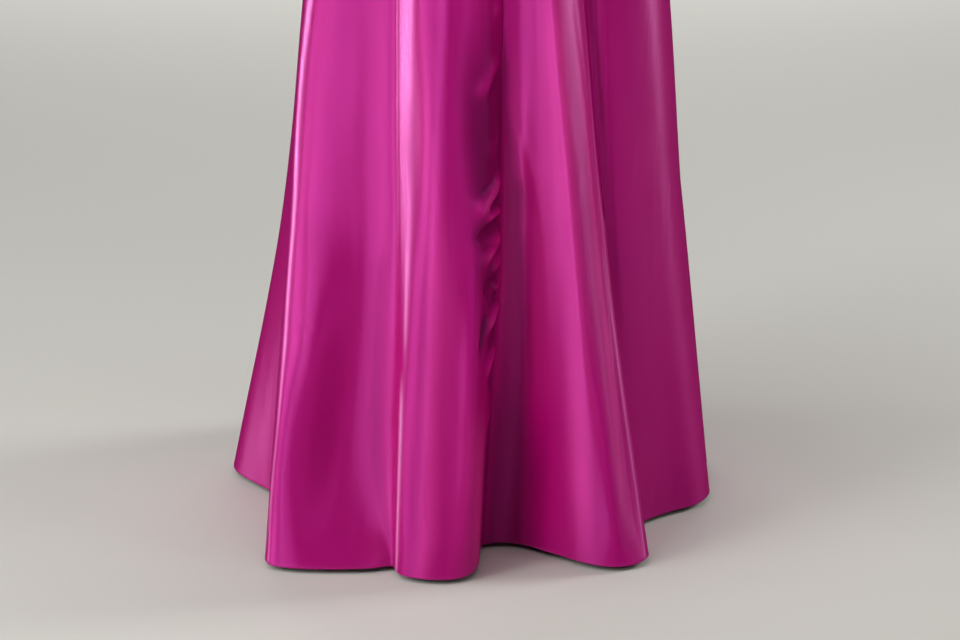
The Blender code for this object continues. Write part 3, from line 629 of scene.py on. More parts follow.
def satin(name, colour, spread, roughness, specular, tint, sheen, sheen_tint, bump, seed):
    """Woven satin: a dense smooth face with fine warp streaks, and a soft broad sheen; the base colour also carries
    painted light, painted shade and painted highlights from the mesh's attributes.
    """
    mat = bpy.data.materials.new(name)
    nt, bsdf = nodes_of(mat)
    new, link = nt.nodes.new, nt.links.new
    uv = new("ShaderNodeUVMap"); uv.uv_map = "cloth"
    layers = []
    for across, along, detail in ((130.0, 620.0, 2.0), (340.0, 16.0, 2.0)):
        stretch = new("ShaderNodeMapping")
        stretch.inputs["Scale"].default_value = (across, along, 1.0)
        link(uv.outputs["UV"], stretch.inputs["Vector"])
        layer = new("ShaderNodeTexNoise"); layer.inputs["Scale"].default_value = 1.0
        layer.inputs["Detail"].default_value = detail
        link(stretch.outputs["Vector"], layer.inputs["Vector"])
        layers.append(layer)
    warp = new("ShaderNodeMath"); warp.operation = "MULTIPLY_ADD"    # fine floats over broader slubs
    warp.inputs[1].default_value = 0.45
    broad = new("ShaderNodeMath"); broad.operation = "MULTIPLY"; broad.inputs[1].default_value = 0.55
    link(layers[1].outputs["Fac"], broad.inputs[0])
    link(layers[0].outputs["Fac"], warp.inputs[0])
    link(broad.outputs[0], warp.inputs[2])
    float_range = new("ShaderNodeMapRange")
    float_range.inputs["From Min"].default_value = 0.26
    float_range.inputs["From Max"].default_value = 0.74
    link(warp.outputs[0], float_range.inputs["Value"])
    geo = new("ShaderNodeTexCoord")
    slow = new("ShaderNodeTexNoise"); slow.inputs["Scale"].default_value = 3.4
    slow.inputs["Detail"].default_value = 2.0
    link(geo.outputs["Object"], slow.inputs["Vector"])
    ramp = new("ShaderNodeValToRGB")
    ramp.color_ramp.elements[0].position, ramp.color_ramp.elements[1].position = 0.30, 0.72
    ramp.color_ramp.elements[0].color = (*[c * (1 - spread) for c in colour], 1)
    ramp.color_ramp.elements[1].color = (*[min(1, c * (1 + spread)) for c in colour], 1)
    mixed = new("ShaderNodeMath"); mixed.operation = "MULTIPLY_ADD"
    mixed.inputs[1].default_value = 0.30
    link(float_range.outputs["Result"], mixed.inputs[0])
    half = new("ShaderNodeMath"); half.operation = "MULTIPLY"; half.inputs[1].default_value = 0.70
    link(slow.outputs["Fac"], half.inputs[0])
    link(half.outputs[0], mixed.inputs[2])
    link(mixed.outputs[0], ramp.inputs["Fac"])
    # painted light over the puckers' bulges and lit folds, painted shade in their troughs and the deep fold; a
    # painted highlight along the fold and hem edges
    painted_shading = new("ShaderNodeAttribute"); painted_shading.attribute_name = "painted_shading"
    edge = new("ShaderNodeAttribute"); edge.attribute_name = "edge"
    colour_now = ramp.outputs["Color"]
    # lighter pink for painted light, a darker colour for painted shade, pale pink for the painted highlight
    for source, sign, target in ((painted_shading, 1.0, [min(1, c * 1.45 + 0.03) for c in colour]),
                                 (painted_shading, -1.0, [c * 0.34 for c in colour]),
                                 (edge, 1.0, (1.0, 0.34, 0.72))):
        part = new("ShaderNodeMath"); part.operation = "MULTIPLY"; part.use_clamp = True
        part.inputs[1].default_value = sign
        link(source.outputs["Fac"], part.inputs[0])
        mix = new("ShaderNodeMix"); mix.data_type = "RGBA"
        link(part.outputs[0], mix.inputs["Factor"])
        link(colour_now, mix.inputs[6])
        mix.inputs[7].default_value = (*target, 1)
        colour_now = mix.outputs[2]
    link(colour_now, bsdf.inputs["Base Color"])
    rough = new("ShaderNodeMapRange")
    rough.inputs["To Min"].default_value = roughness - 0.10
    rough.inputs["To Max"].default_value = roughness + 0.10
    link(float_range.outputs["Result"], rough.inputs["Value"])
    link(rough.outputs["Result"], bsdf.inputs["Roughness"])
    b = new("ShaderNodeBump")
    b.inputs["Strength"].default_value = bump
    b.inputs["Distance"].default_value = 0.00006
    link(float_range.outputs["Result"], b.inputs["Height"])
    link(b.outputs["Normal"], bsdf.inputs["Normal"])
    bsdf.inputs["Specular IOR Level"].default_value = specular
    bsdf.inputs["Specular Tint"].default_value = (*tint, 1)
    bsdf.inputs["Sheen Weight"].default_value = sheen
    bsdf.inputs["Sheen Roughness"].default_value = 0.35
    bsdf.inputs["Sheen Tint"].default_value = (*sheen_tint, 1)
    bsdf.inputs["IOR"].default_value = 1.65
    # the floats of the weave spread the sheen up and down more than across
    lie = new("ShaderNodeTangent"); lie.direction_type = "UV_MAP"; lie.uv_map = "cloth"
    link(lie.outputs["Tangent"], bsdf.inputs["Tangent"])
    bsdf.inputs["Anisotropic"].default_value = 0.75
    bsdf.inputs["Anisotropic Rotation"].default_value = 0.25
    return mat


FACE = satin("satin_face", (0.4500, 0.0022, 0.1640), 0.06, 0.36, 1.0, (1.0, 0.140, 0.77),
             0.0, (1.0, 0.30, 0.70), 0.25, 1)
BACK = satin("satin_back", (0.300, 0.006, 0.115), 0.08, 0.62, 0.35, (1.0, 0.35, 0.7),
             0.15, (1.0, 0.35, 0.7), 0.35, 2)


def dress(obj):
    obj.data.materials.append(FACE)
    obj.data.materials.append(BACK)
    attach(obj, "gown")


# ------------------------------------------------------------------ skirt pieces
skirt = Skirt()
PANELS = (
    ("skirt_front_left", "left_side", "front_seam"),
    ("skirt_front_right", "front_seam", "right_side"),
    ("skirt_back_right", "right_side", "b3_v"),
    ("skirt_back_left", "b3_v", "left_side"),
)


def run(points):
    return float(np.linalg.norm(np.diff(points, axis=0), axis=1).sum())


for name, start, end in PANELS:
    a, b = skirt.column(start), skirt.column(end)
    if b <= a:
        b += skirt.total
    idx = np.arange(a, b + 1) % skirt.total
    grid = skirt.grid[:, idx].copy()
    for side, nxt in ((0, 1), (-1, -2)):
        d = grid[:, nxt] - grid[:, side]
        d /= np.linalg.norm(d, axis=1, keepdims=True)
        grid[:, side] += d * SEAM_GAP / 2
    grid[-1, :, 2] -= SEAM_GAP / 2
    # each vertex's place on the cloth, with its painted highlight and its painted light and shade
    uv = np.stack([skirt.s[:, idx], np.broadcast_to(skirt.z[:, None], (len(skirt.z), len(idx))),
                   skirt.edge[:, idx], skirt.painted_shading[:, idx]], -1)
    wide, length = run(grid[0]) * 1.02, run(grid[:, 0]) * 1.03
    # the seam edges dip in a little, and the waist edge is turned in
    normals = grid_normals(grid, False)
    for side, nxt in ((0, 1), (-1, -2)):
        grid[:, side] -= normals[:, side] * 0.0005
    grid, uv = rolled(grid, uv, HEM_ROLL)
    grid, uv = rolled(grid[::-1], uv[::-1], 0.0010)
    piece = shell(name + "_cloth", grid[::-1], FABRIC, uv=uv[::-1])
    dress(piece)
    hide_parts(name)


# ------------------------------------------------------------------ bodice
def top_height(degrees):
    a = np.abs((np.asarray(degrees, float) + 180) % 360 - 180)
    return through(a.ravel(), TOP_EDGE[:, 0], TOP_EDGE[:, 1]).reshape(a.shape)


def bodice_point(degrees, height):
    at, level, out, spread, tall = CUP
    a = (np.asarray(degrees, float) + 180) % 360 - 180
    cup = sum(np.exp(-((a - s * at) / spread) ** 2) for s in (-1, 1))
    span = np.where(height < level, tall, tall * 1.25)
    rise = np.exp(-((height - level) / span) ** 2)
    return figure(height, degrees, out * cup * rise)


# Darts of the bodice: direction at the foot and at the point, and their heights.
DARTS = (
    # foot deg, point deg, foot z, point z
    (-31.0, -34.0, 1.120, 1.262),
    (31.0, 34.0, 1.120, 1.262),
    (-86.0, -50.0, 1.250, 1.287),
    (86.0, 50.0, 1.250, 1.287),
    (152.0, 154.0, 1.120, 1.250),
    (208.0, 206.0, 1.120, 1.250),
)


def dart_relief(degrees, z):
    """Fine stitched line of each dart, with the fullness that it lets go at its point."""
    out = np.zeros_like(z)
    for d0, d1, z0, z1 in DARTS:
        radius = 0.145
        across = radius * np.radians(((degrees - d0) + 180) % 360 - 180)
        run_x, run_z = radius * math.radians(d1 - d0), z1 - z0
        length = math.hypot(run_x, run_z)
        ux, uz = run_x / length, run_z / length
        t = (across * ux + (z - z0) * uz) / length
        off = -across * uz + (z - z0) * ux
        on = smooth01((1 - t) * 6) * smooth01((t + 0.03) * 60)
        out -= 0.00055 * on * np.exp(-(off / 0.0009) ** 2)
        out += 0.00035 * on * np.exp(-(off / 0.0040) ** 2)
        end = np.exp(-((t - 1.06) * length / 0.012) ** 2 - (off / 0.006) ** 2)
        out -= 0.0006 * end
    return out


# Soft strain folds of the bodice: where they lie, how long and how deep (mm).
STRAIN = (
    # degrees, z     degrees, z    width mm, depth mm
    (-12, 1.150, -30, 1.172, 5.0, -0.7),
    (10, 1.142, 27, 1.158, 5.0, -0.6),
    (-60, 1.140, -84, 1.160, 6.0, -0.9),
    (-56, 1.158, -80, 1.186, 5.0, 0.6),
    (58, 1.136, 82, 1.154, 6.0, -0.9),
    (62, 1.170, 84, 1.196, 5.0, -0.6),
    (96, 1.140, 118, 1.150, 6.0, -0.8),
    (100, 1.168, 124, 1.176, 6.0, 0.6),
    (-98, 1.138, -120, 1.152, 6.0, -0.9),
    (-97, 1.180, -118, 1.196, 6.0, -0.5),
    (138, 1.150, 172, 1.146, 6.0, -0.8),
    (186, 1.160, 215, 1.170, 6.0, -0.7),
    (60, 1.290, 84, 1.310, 6.0, -0.7),
    (-58, 1.296, -82, 1.306, 6.0, -0.6),
    (-6, 1.300, -16, 1.322, 5.0, -0.5),
    (5, 1.296, 17, 1.326, 5.0, -0.5),
)


def strain_relief(degrees, z):
    out = np.zeros_like(z)
    radius = 0.14
    for d0, z0, d1, z1, width, depth in STRAIN:
        across = radius * np.radians(((degrees - d0) + 180) % 360 - 180)
        run_x, run_z = radius * math.radians(d1 - d0), z1 - z0
        length = math.hypot(run_x, run_z)
        ux, uz = run_x / length, run_z / length
        t = (across * ux + (z - z0) * uz) / length
        off = -across * uz + (z - z0) * ux
        taper = smooth01(np.clip(np.minimum(t, 1 - t) * 2.5, 0, 1))
        out += depth / 1000 * taper * np.exp(-(off / (width / 1000)) ** 2)
    return out


for name, lo, hi, cols in (("bodice_front", -90, 90, 300), ("bodice_back_right", 90, 180, 150),
                           ("bodice_back_left", 180, 270, 150)):
    gap = math.degrees(SEAM_GAP / 2 / 0.14)
    ang = np.linspace(lo + gap, hi - gap, cols)[None, :]
    f = np.linspace(0, 1, 120)[:, None]
    z = WAIST + SEAM_GAP / 2 + (top_height(ang) - WAIST - SEAM_GAP / 2) * f
    angles = np.broadcast_to(ang, z.shape)
    grid = np.concatenate([bodice_point(angles, z), z[:, :, None]], axis=2)
    step = np.linalg.norm(np.diff(grid, axis=1), axis=2)
    s = np.concatenate([np.zeros((len(f), 1)), np.cumsum(step, axis=1)], axis=1)
    relief = dart_relief(angles, z) + strain_relief(angles, z)
    # understitching that holds the top edge in, 5 mm below it
    below = top_height(ang) - z
    relief -= 0.00025 * np.exp(-((below - 0.005) / 0.0011) ** 2)
    relief += 0.00020 * np.exp(-((below - 0.0022) / 0.0016) ** 2)
    relief[:, 0] -= 0.0005
    relief[:, -1] -= 0.0005
    grid = grid + grid_normals(grid, False) * relief[:, :, None]
    uv = np.stack([s, z], -1)
    grid, uv = rolled(grid, uv, 0.0010)
    grid, uv = rolled(grid[::-1], uv[::-1], 0.0013)
    piece = shell(name + "_cloth", grid[::-1], FABRIC, uv=uv[::-1])
    dress(piece)
    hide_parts(name)


# ------------------------------------------------------------------ straps
STRAP_WIDTH, STRAP_X_TOP, STRAP_X_FRONT, STRAP_X_BACK = 0.022, 0.104, 0.092, 0.084
STRAP_THICK = 0.0015


def edge_point(degrees):
    z = float(top_height(np.array([degrees]))[0])
    p = bodice_point(np.array([degrees]), np.array([z]))[0]
    return np.array((p[0], p[1], z))


def edge_direction(x_target, lo, hi):
    """Direction at which the top edge is x_target from the middle."""
    for _ in range(40):
        mid = (lo + hi) / 2
        if edge_point(mid)[0] < x_target:
            lo = mid
        else:
            hi = mid
    return mid


def strap(side, name):
    """A stitched satin band over the shoulder, sewn to the top edge before and behind."""
    front, back = edge_direction(STRAP_X_FRONT, 5, 89), edge_direction(STRAP_X_BACK, 175, 91)
    pf, pb = edge_point(front), edge_point(back)
    stations = np.array((
        (0.00, *pf),
        (0.22, pf[0] + 0.003, pf[1] + 0.014, pf[2] + 0.036),
        (0.42, STRAP_X_TOP - 0.002, -0.032, LENGTH - 0.008),
        (0.55, STRAP_X_TOP, 0.000, LENGTH),
        (0.68, STRAP_X_TOP - 0.003, 0.034, LENGTH - 0.011),
        (0.84, (STRAP_X_TOP + pb[0]) / 2, 0.072, (LENGTH + pb[2]) / 2 + 0.006),
        (1.00, *pb),
    ))
    n, m = 90, 17
    share = np.linspace(0, 1, n + 1)
    path = through(share, stations[:, 0], stations[:, 1:])
    f = np.linspace(-1, 1, m)
    half = STRAP_WIDTH / 2
    rows, ends = [], {}
    for k, turn, middle in ((0, 1, front), (n, -1, back)):
        spread = math.degrees(half / np.linalg.norm(path[k, :2]))
        ends[k] = np.array([edge_point(middle + turn * q * spread) for q in f]) + np.array((0, 0, SEAM_GAP * 1.6))
    for k, p in enumerate(path):
        t = path[min(k + 1, n)] - path[max(k - 1, 0)]
        t /= np.linalg.norm(t)
        across = np.array((1.0, 0, 0)) - t * t[0]
        across /= np.linalg.norm(across)
        down = np.cross(across, t)
        if down @ (np.array((0, 0, LENGTH - 0.12)) - p) < 0:
            down = -down
        row = p + across * half * f[:, None]
        # rounded turned edges, two rows of stitching, a faint ripple along the band
        d = half * (1 - np.abs(f))
        drop = 0.0007 * np.exp(-(d / 0.0007) ** 2) + 0.00016 * np.exp(-((d - 0.0028) / 0.0006) ** 2)
        drop = drop + 0.00010 * math.sin(k * 0.61 + side) * np.cos(f * 3.0 + k * 0.2)
        row = row + down * drop[:, None]
        for end, away in ((0, share[k]), (n, 1 - share[k])):
            w = float(smooth01(1 - away / 0.10))
            if w > 0:
                shift = ends[end] - (path[end] + across * half * f[:, None])
                row = row + shift * w
        rows.append(row)
    rows[0], rows[-1] = ends[0], ends[n]
    grid = np.array(rows)
    grid[..., 0] *= side
    if side < 0:
        grid = grid[:, ::-1]
    if grid_normals(grid, False)[n // 2, m // 2, 2] < 0:
        grid = grid[:, ::-1]
    along = np.concatenate([[0], np.cumsum(np.linalg.norm(np.diff(path, axis=0), axis=1))])
    uv = np.stack(np.meshgrid(f * half, along), -1)
    piece = shell(name + "_band", grid, STRAP_THICK, uv=uv)
    dress(piece)
    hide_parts(name)
    return grid


for side, name in ((-1, "strap_left"), (1, "strap_right")):
    strap(side, name)


# ------------------------------------------------------------------ zip
def lacquer(name, colour):
    """Dyed-to-match lacquer on cast zinc: nearly even, with faint scuffs."""
    mat = bpy.data.materials.new(name)
    nt, bsdf = nodes_of(mat)
    new, link = nt.nodes.new, nt.links.new
    where = new("ShaderNodeTexCoord")
    noise = new("ShaderNodeTexNoise"); noise.inputs["Scale"].default_value = 900.0
    noise.inputs["Detail"].default_value = 3.0
    link(where.outputs["Object"], noise.inputs["Vector"])
    ramp = new("ShaderNodeValToRGB")
    ramp.color_ramp.elements[0].position, ramp.color_ramp.elements[1].position = 0.35, 0.70
    ramp.color_ramp.elements[0].color = (*[c * 0.88 for c in colour], 1)
    ramp.color_ramp.elements[1].color = (*[min(1, c * 1.12) for c in colour], 1)
    link(noise.outputs["Fac"], ramp.inputs["Fac"])
    link(ramp.outputs["Color"], bsdf.inputs["Base Color"])
    rough = new("ShaderNodeMapRange")
    rough.inputs["To Min"].default_value, rough.inputs["To Max"].default_value = 0.22, 0.40
    link(noise.outputs["Fac"], rough.inputs["Value"])
    link(rough.outputs["Result"], bsdf.inputs["Roughness"])
    bump = new("ShaderNodeBump"); bump.inputs["Strength"].default_value = 0.2
    bump.inputs["Distance"].default_value = 0.00003
    link(noise.outputs["Fac"], bump.inputs["Height"])
    link(bump.outputs["Normal"], bsdf.inputs["Normal"])
    bsdf.inputs["Metallic"].default_value = 0.55
    bsdf.inputs["Coat Weight"].default_value = 0.4
    return mat


def tape_material():
    """Nylon tape and coil: fine ribbed weave."""
    mat = bpy.data.materials.new("zip_nylon")
    nt, bsdf = nodes_of(mat)
    new, link = nt.nodes.new, nt.links.new
    where = new("ShaderNodeTexCoord")
    scale = new("ShaderNodeMapping"); scale.inputs["Scale"].default_value = (2500.0, 900.0, 900.0)
    link(where.outputs["Object"], scale.inputs["Vector"])
    noise = new("ShaderNodeTexNoise"); noise.inputs["Scale"].default_value = 1.0
    link(scale.outputs["Vector"], noise.inputs["Vector"])
    ramp = new("ShaderNodeValToRGB")
    ramp.color_ramp.elements[0].color = (0.260, 0.006, 0.110, 1)
    ramp.color_ramp.elements[1].color = (0.400, 0.012, 0.170, 1)
    link(noise.outputs["Fac"], ramp.inputs["Fac"])
    link(ramp.outputs["Color"], bsdf.inputs["Base Color"])
    bump = new("ShaderNodeBump"); bump.inputs["Strength"].default_value = 0.4
    bump.inputs["Distance"].default_value = 0.00005
    link(noise.outputs["Fac"], bump.inputs["Height"])
    link(bump.outputs["Normal"], bsdf.inputs["Normal"])
    bsdf.inputs["Roughness"].default_value = 0.55
    return mat


LACQUER, NYLON = lacquer("zip_lacquer_look", (0.380, 0.014, 0.165)), tape_material()


def finish_bmesh(bm, name, material, body, node, angle=40):
    bmesh.ops.recalc_face_normals(bm, faces=bm.faces)
    me = bpy.data.meshes.new(name)
    bm.to_mesh(me)
    bm.free()
    me.polygons.foreach_set("use_smooth", np.ones(len(me.polygons), dtype=bool))
    me.set_sharp_from_angle(angle=math.radians(angle))
    me.materials.append(material)
    obj = bpy.data.objects.new(name, me)
    bpy.context.scene.collection.objects.link(obj)
    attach(obj, body)
    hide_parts(node)
    return obj


def soft_box(bm, size, at, radius, segments=3):
    """Box with rounded edges, added to bm."""
    made = bmesh.ops.create_cube(bm, size=1.0)["verts"]
    for v in made:
        v.co = Vector((v.co.x * size[0] + at[0], v.co.y * size[1] + at[1], v.co.z * size[2] + at[2]))
    edges = list({e for v in made for e in v.link_edges})
    bmesh.ops.bevel(bm, geom=edges, offset=radius, segments=segments, profile=0.5, affect="EDGES")


def zip_chain():
    """Tape with the moulded coil on its inner side, along the CAD chain."""
    lo, hi = (Vector(v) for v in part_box("zip_chain"))
    me = next(o for o in bpy.data.objects if o.type == "MESH" and o.name.startswith("zip_chain")).data
    levels = {}
    for v in me.vertices:
        levels.setdefault(round(v.co.z, 4), []).append(v.co)
    zs = np.array(sorted(levels))
    xs = np.array([np.mean([c.x for c in levels[z]]) for z in sorted(levels)])
    ys = np.array([max(c.y for c in levels[z]) for z in sorted(levels)])
    at = lambda z: (float(np.interp(z, zs, xs)), float(np.interp(z, zs, ys)))
    bm = bmesh.new()
    n, half, thick = 120, 0.0027, 0.00042
    rings = []
    for k in range(n + 1):
        z = lo.z + 0.0002 + (hi.z - lo.z - 0.0004) * k / n
        x, y = at(z)
        y -= 0.00003
        rings.append([bm.verts.new((x + dx, y - dy, z)) for dx, dy in (
            (-half, 0.00008), (-half + 0.0003, 0), (0, 0.00004), (half - 0.0003, 0), (half, 0.00008),
            (half, thick - 0.00008), (half - 0.0003, thick), (0, thick), (-half + 0.0003, thick),
            (-half, thick - 0.00008))])
    for a, b in zip(rings, rings[1:]):
        for j in range(10):
            bm.faces.new((a[j], a[(j + 1) % 10], b[(j + 1) % 10], b[j]))
    bm.faces.new(rings[0][::-1])
    bm.faces.new(rings[-1])
    pitch = 0.0016
    count = int((hi.z - lo.z - 0.004) / pitch)
    for k in range(count):
        z = lo.z + 0.002 + k * pitch
        x, y = at(z)
        side = 0.00018 if k % 2 else -0.00018
        soft_box(bm, (0.0034, 0.00068, 0.00086), (x + side, y - thick - 0.00034, z), 0.00026, 2)
    return finish_bmesh(bm, "zip_chain_coil", NYLON, "gown", "zip_chain")


def zip_slider():
    """Slider plate with its bridge, the pull's bar running through it."""
    lo, hi = (Vector(v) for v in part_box("zip_slider"))
    mid = (lo.z + hi.z) / 2
    width, depth, tall = 0.0050, 0.0016, 0.0084
    bm = bmesh.new()
    soft_box(bm, (width, depth, tall), (0, lo.y + depth / 2, mid), 0.00055, 4)
    soft_box(bm, (width * 0.62, 0.0003, tall * 0.70), (0, lo.y + depth + 0.00005, mid), 0.00012, 2)
    # bridge: a rounded strap of metal bent out and back
    loop_w, loop_h, bar, out = 0.0016, 0.0062, 0.0008, hi.y - lo.y
    path = [(depth - 0.0004, -1.0), (out - bar * 1.4, -1.0), (out - bar * 0.7, -0.93), (out - bar * 0.5, -0.78),
            (out - bar * 0.5, 0.0),
            (out - bar * 0.5, 0.78), (out - bar * 0.7, 0.93), (out - bar * 1.4, 1.0), (depth - 0.0004, 1.0)]
    pts = [Vector((0, lo.y + y, mid + z * (loop_h - bar) / 2)) for y, z in path]
    rings = []
    for i, p in enumerate(pts):
        t = (pts[min(i + 1, len(pts) - 1)] - pts[max(i - 1, 0)]).normalized()
        side = Vector((1, 0, 0))
        up = side.cross(t)
        rings.append([bm.verts.new(p + side * (loop_w / 2) * math.copysign(abs(math.cos(a)) ** 0.45, math.cos(a))
                                   + up * (bar / 2) * math.copysign(abs(math.sin(a)) ** 0.45, math.sin(a)))
                      for a in (k * math.tau / 16 for k in range(16))])
    for a, b in zip(rings, rings[1:]):
        for j in range(16):
            bm.faces.new((a[j], a[(j + 1) % 16], b[(j + 1) % 16], b[j]))
    bm.faces.new(rings[0][::-1])
    bm.faces.new(rings[-1])
    return finish_bmesh(bm, "zip_slider_body", LACQUER, "gown", "zip_slider", 50)


def zip_pull():
    """Pull tab: a rounded plate with the slot that the bridge runs through."""
    lo, hi = (Vector(v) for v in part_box("zip_pull"))
    x0, y0 = (lo.x + hi.x) / 2, (lo.y + hi.y) / 2
    width, tall, thick = hi.x - lo.x, hi.z - lo.z, hi.y - lo.y

    def loop(bm, w, h, top, r_top, r_low, n=7):
        pts = []
        for cx, cz, r, start in ((w / 2 - r_top, top - r_top, r_top, 0), (-w / 2 + r_top, top - r_top, r_top, 90),
                                 (-w / 2 + r_low, top - h + r_low, r_low, 180),
                                 (w / 2 - r_low, top - h + r_low, r_low, 270)):
            pts += [(cx + r * math.cos(math.radians(start + 90 * k / n)),
                     cz + r * math.sin(math.radians(start + 90 * k / n))) for k in range(n + 1)]
        verts = [bm.verts.new((x0 + x, y0 - thick / 2, z)) for x, z in pts]
        return [bm.edges.new((a, b)) for a, b in zip(verts, verts[1:] + verts[:1])]

    bm = bmesh.new()
    edges = loop(bm, width, tall, hi.z, 0.0011, width * 0.46)
    edges += loop(bm, 0.0026, 0.0046, hi.z - 0.0010, 0.0005, 0.0012)
    bmesh.ops.triangle_fill(bm, use_beauty=True, edges=edges)
    made = bmesh.ops.extrude_face_region(bm, geom=bm.faces[:])
    bmesh.ops.translate(bm, vec=(0, thick, 0), verts=[v for v in made["geom"] if isinstance(v, bmesh.types.BMVert)])
    bmesh.ops.recalc_face_normals(bm, faces=bm.faces)
    rims = [e for e in bm.edges if len(e.link_faces) == 2 and e.calc_face_angle() > 1.2]
    bmesh.ops.bevel(bm, geom=rims, offset=0.00022, segments=3, profile=0.5, affect="EDGES")
    return finish_bmesh(bm, "zip_pull_tab", LACQUER, "pull_tab", "zip_pull", 50)


zip_chain()
zip_slider()
zip_pull()


# ------------------------------------------------------------------ stage and light
def stage_material(name, colour, far, horizon):
    """Pale floor near the gown; away from it the studio's even, pale sweep."""
    mat = bpy.data.materials.new(name)
    nt, bsdf = nodes_of(mat)
    new, link = nt.nodes.new, nt.links.new
    noise = new("ShaderNodeTexNoise"); noise.inputs["Scale"].default_value = 0.6
    ramp = new("ShaderNodeValToRGB")
    ramp.color_ramp.elements[0].color = (*[c * 0.985 for c in colour], 1)
    ramp.color_ramp.elements[1].color = (*[c * 1.015 for c in colour], 1)
    link(noise.outputs["Fac"], ramp.inputs["Fac"])
    link(ramp.outputs["Color"], bsdf.inputs["Base Color"])
    bsdf.inputs["Roughness"].default_value = 0.7
    bsdf.inputs["Specular IOR Level"].default_value = 0.2
    where = new("ShaderNodeTexCoord")

    def distance(centre_y, wide, deep):
        moved = new("ShaderNodeMapping")
        moved.inputs["Location"].default_value = (0.0, -centre_y / deep, 0.0)
        moved.inputs["Scale"].default_value = (1 / wide, 1 / deep, 0.0)
        link(where.outputs["Object"], moved.inputs["Vector"])
        size = new("ShaderNodeVectorMath"); size.operation = "LENGTH"
        link(moved.outputs["Vector"], size.inputs[0])
        return size.outputs["Value"]

    def band(source, lo, hi):
        part = new("ShaderNodeMapRange"); part.interpolation_type = "SMOOTHSTEP"
        part.inputs["From Min"].default_value, part.inputs["From Max"].default_value = lo, hi
        link(source, part.inputs["Value"])
        return part.outputs["Result"]

    sweep = new("ShaderNodeMix"); sweep.data_type = "RGBA"
    sweep.inputs[6].default_value, sweep.inputs[7].default_value = (*far, 1), (*horizon, 1)
    link(band(distance(0.0, 1.0, 1.0), 4.0, 24.0), sweep.inputs["Factor"])
    glow = new("ShaderNodeEmission")
    link(sweep.outputs[2], glow.inputs["Color"])
    seen = new("ShaderNodeLightPath")
    share = new("ShaderNodeMath"); share.operation = "MULTIPLY"
    link(band(distance(1.4, 1.8, 2.5), 1.0, 1.5), share.inputs[0])
    link(seen.outputs["Is Camera Ray"], share.inputs[1])
    both = new("ShaderNodeMixShader")
    link(share.outputs[0], both.inputs["Fac"])
    link(bsdf.outputs["BSDF"], both.inputs[1])
    link(glow.outputs["Emission"], both.inputs[2])
    link(both.outputs[0], nt.nodes["Material Output"].inputs["Surface"])
    return mat


def floor_disc(name, inner, outer, material):
    """Flat ring (or disc) on the studio floor's level."""
    bm = bmesh.new()
    ring = [[bm.verts.new((r * math.cos(k * math.tau / 128), r * math.sin(k * math.tau / 128), 0))
             for k in range(128)] for r in (inner, outer) if r > 0]
    if inner > 0:
        for k in range(128):
            bm.faces.new((ring[0][k], ring[1][k], ring[1][(k + 1) % 128], ring[0][(k + 1) % 128]))
    else:
        bm.faces.new(ring[0])
    me = bpy.data.meshes.new(name)
    bm.to_mesh(me)
    bm.free()
    me.materials.append(material)
    obj = bpy.data.objects.new(name, me)
    obj.location.z = -LENGTH - FLOOR_DROP
    bpy.context.scene.collection.objects.link(obj)
    return obj


# The floor is left out of the satin's mirror, as dark flags beside a studio set do.
HORIZON = (0.580, 0.575, 0.535)
studio_floor = stage_material("studio_floor", (0.56, 0.55, 0.51), (0.520, 0.515, 0.475), HORIZON)
floor = floor_disc("floor", 0.0, 30.0, studio_floor)
floor.visible_glossy = False
floor.visible_shadow = False
floor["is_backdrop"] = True


def softbox(name, azimuth, elevation, distance, size, power, aim=(0.0, 0.0, -1.1), colour=(1, 1, 1)):
    """Area light; azimuth from the camera's side, + to the right."""
    a, e = math.radians(azimuth), math.radians(elevation)
    data = bpy.data.lights.new(name, "AREA")
    data.shape = "RECTANGLE"
    data.size, data.size_y = size
    data.energy = power
    data.color = colour
    obj = bpy.data.objects.new(name, data)
    aim = Vector(aim)
    away = Vector((math.sin(a) * math.cos(e), -math.cos(a) * math.cos(e), math.sin(e)))
    obj.location = aim + away * distance
    obj.rotation_mode = "QUATERNION"
    obj.rotation_quaternion = away.to_track_quat("Z", "Y")
    obj.visible_camera = False
    bpy.context.scene.collection.objects.link(obj)
    return obj


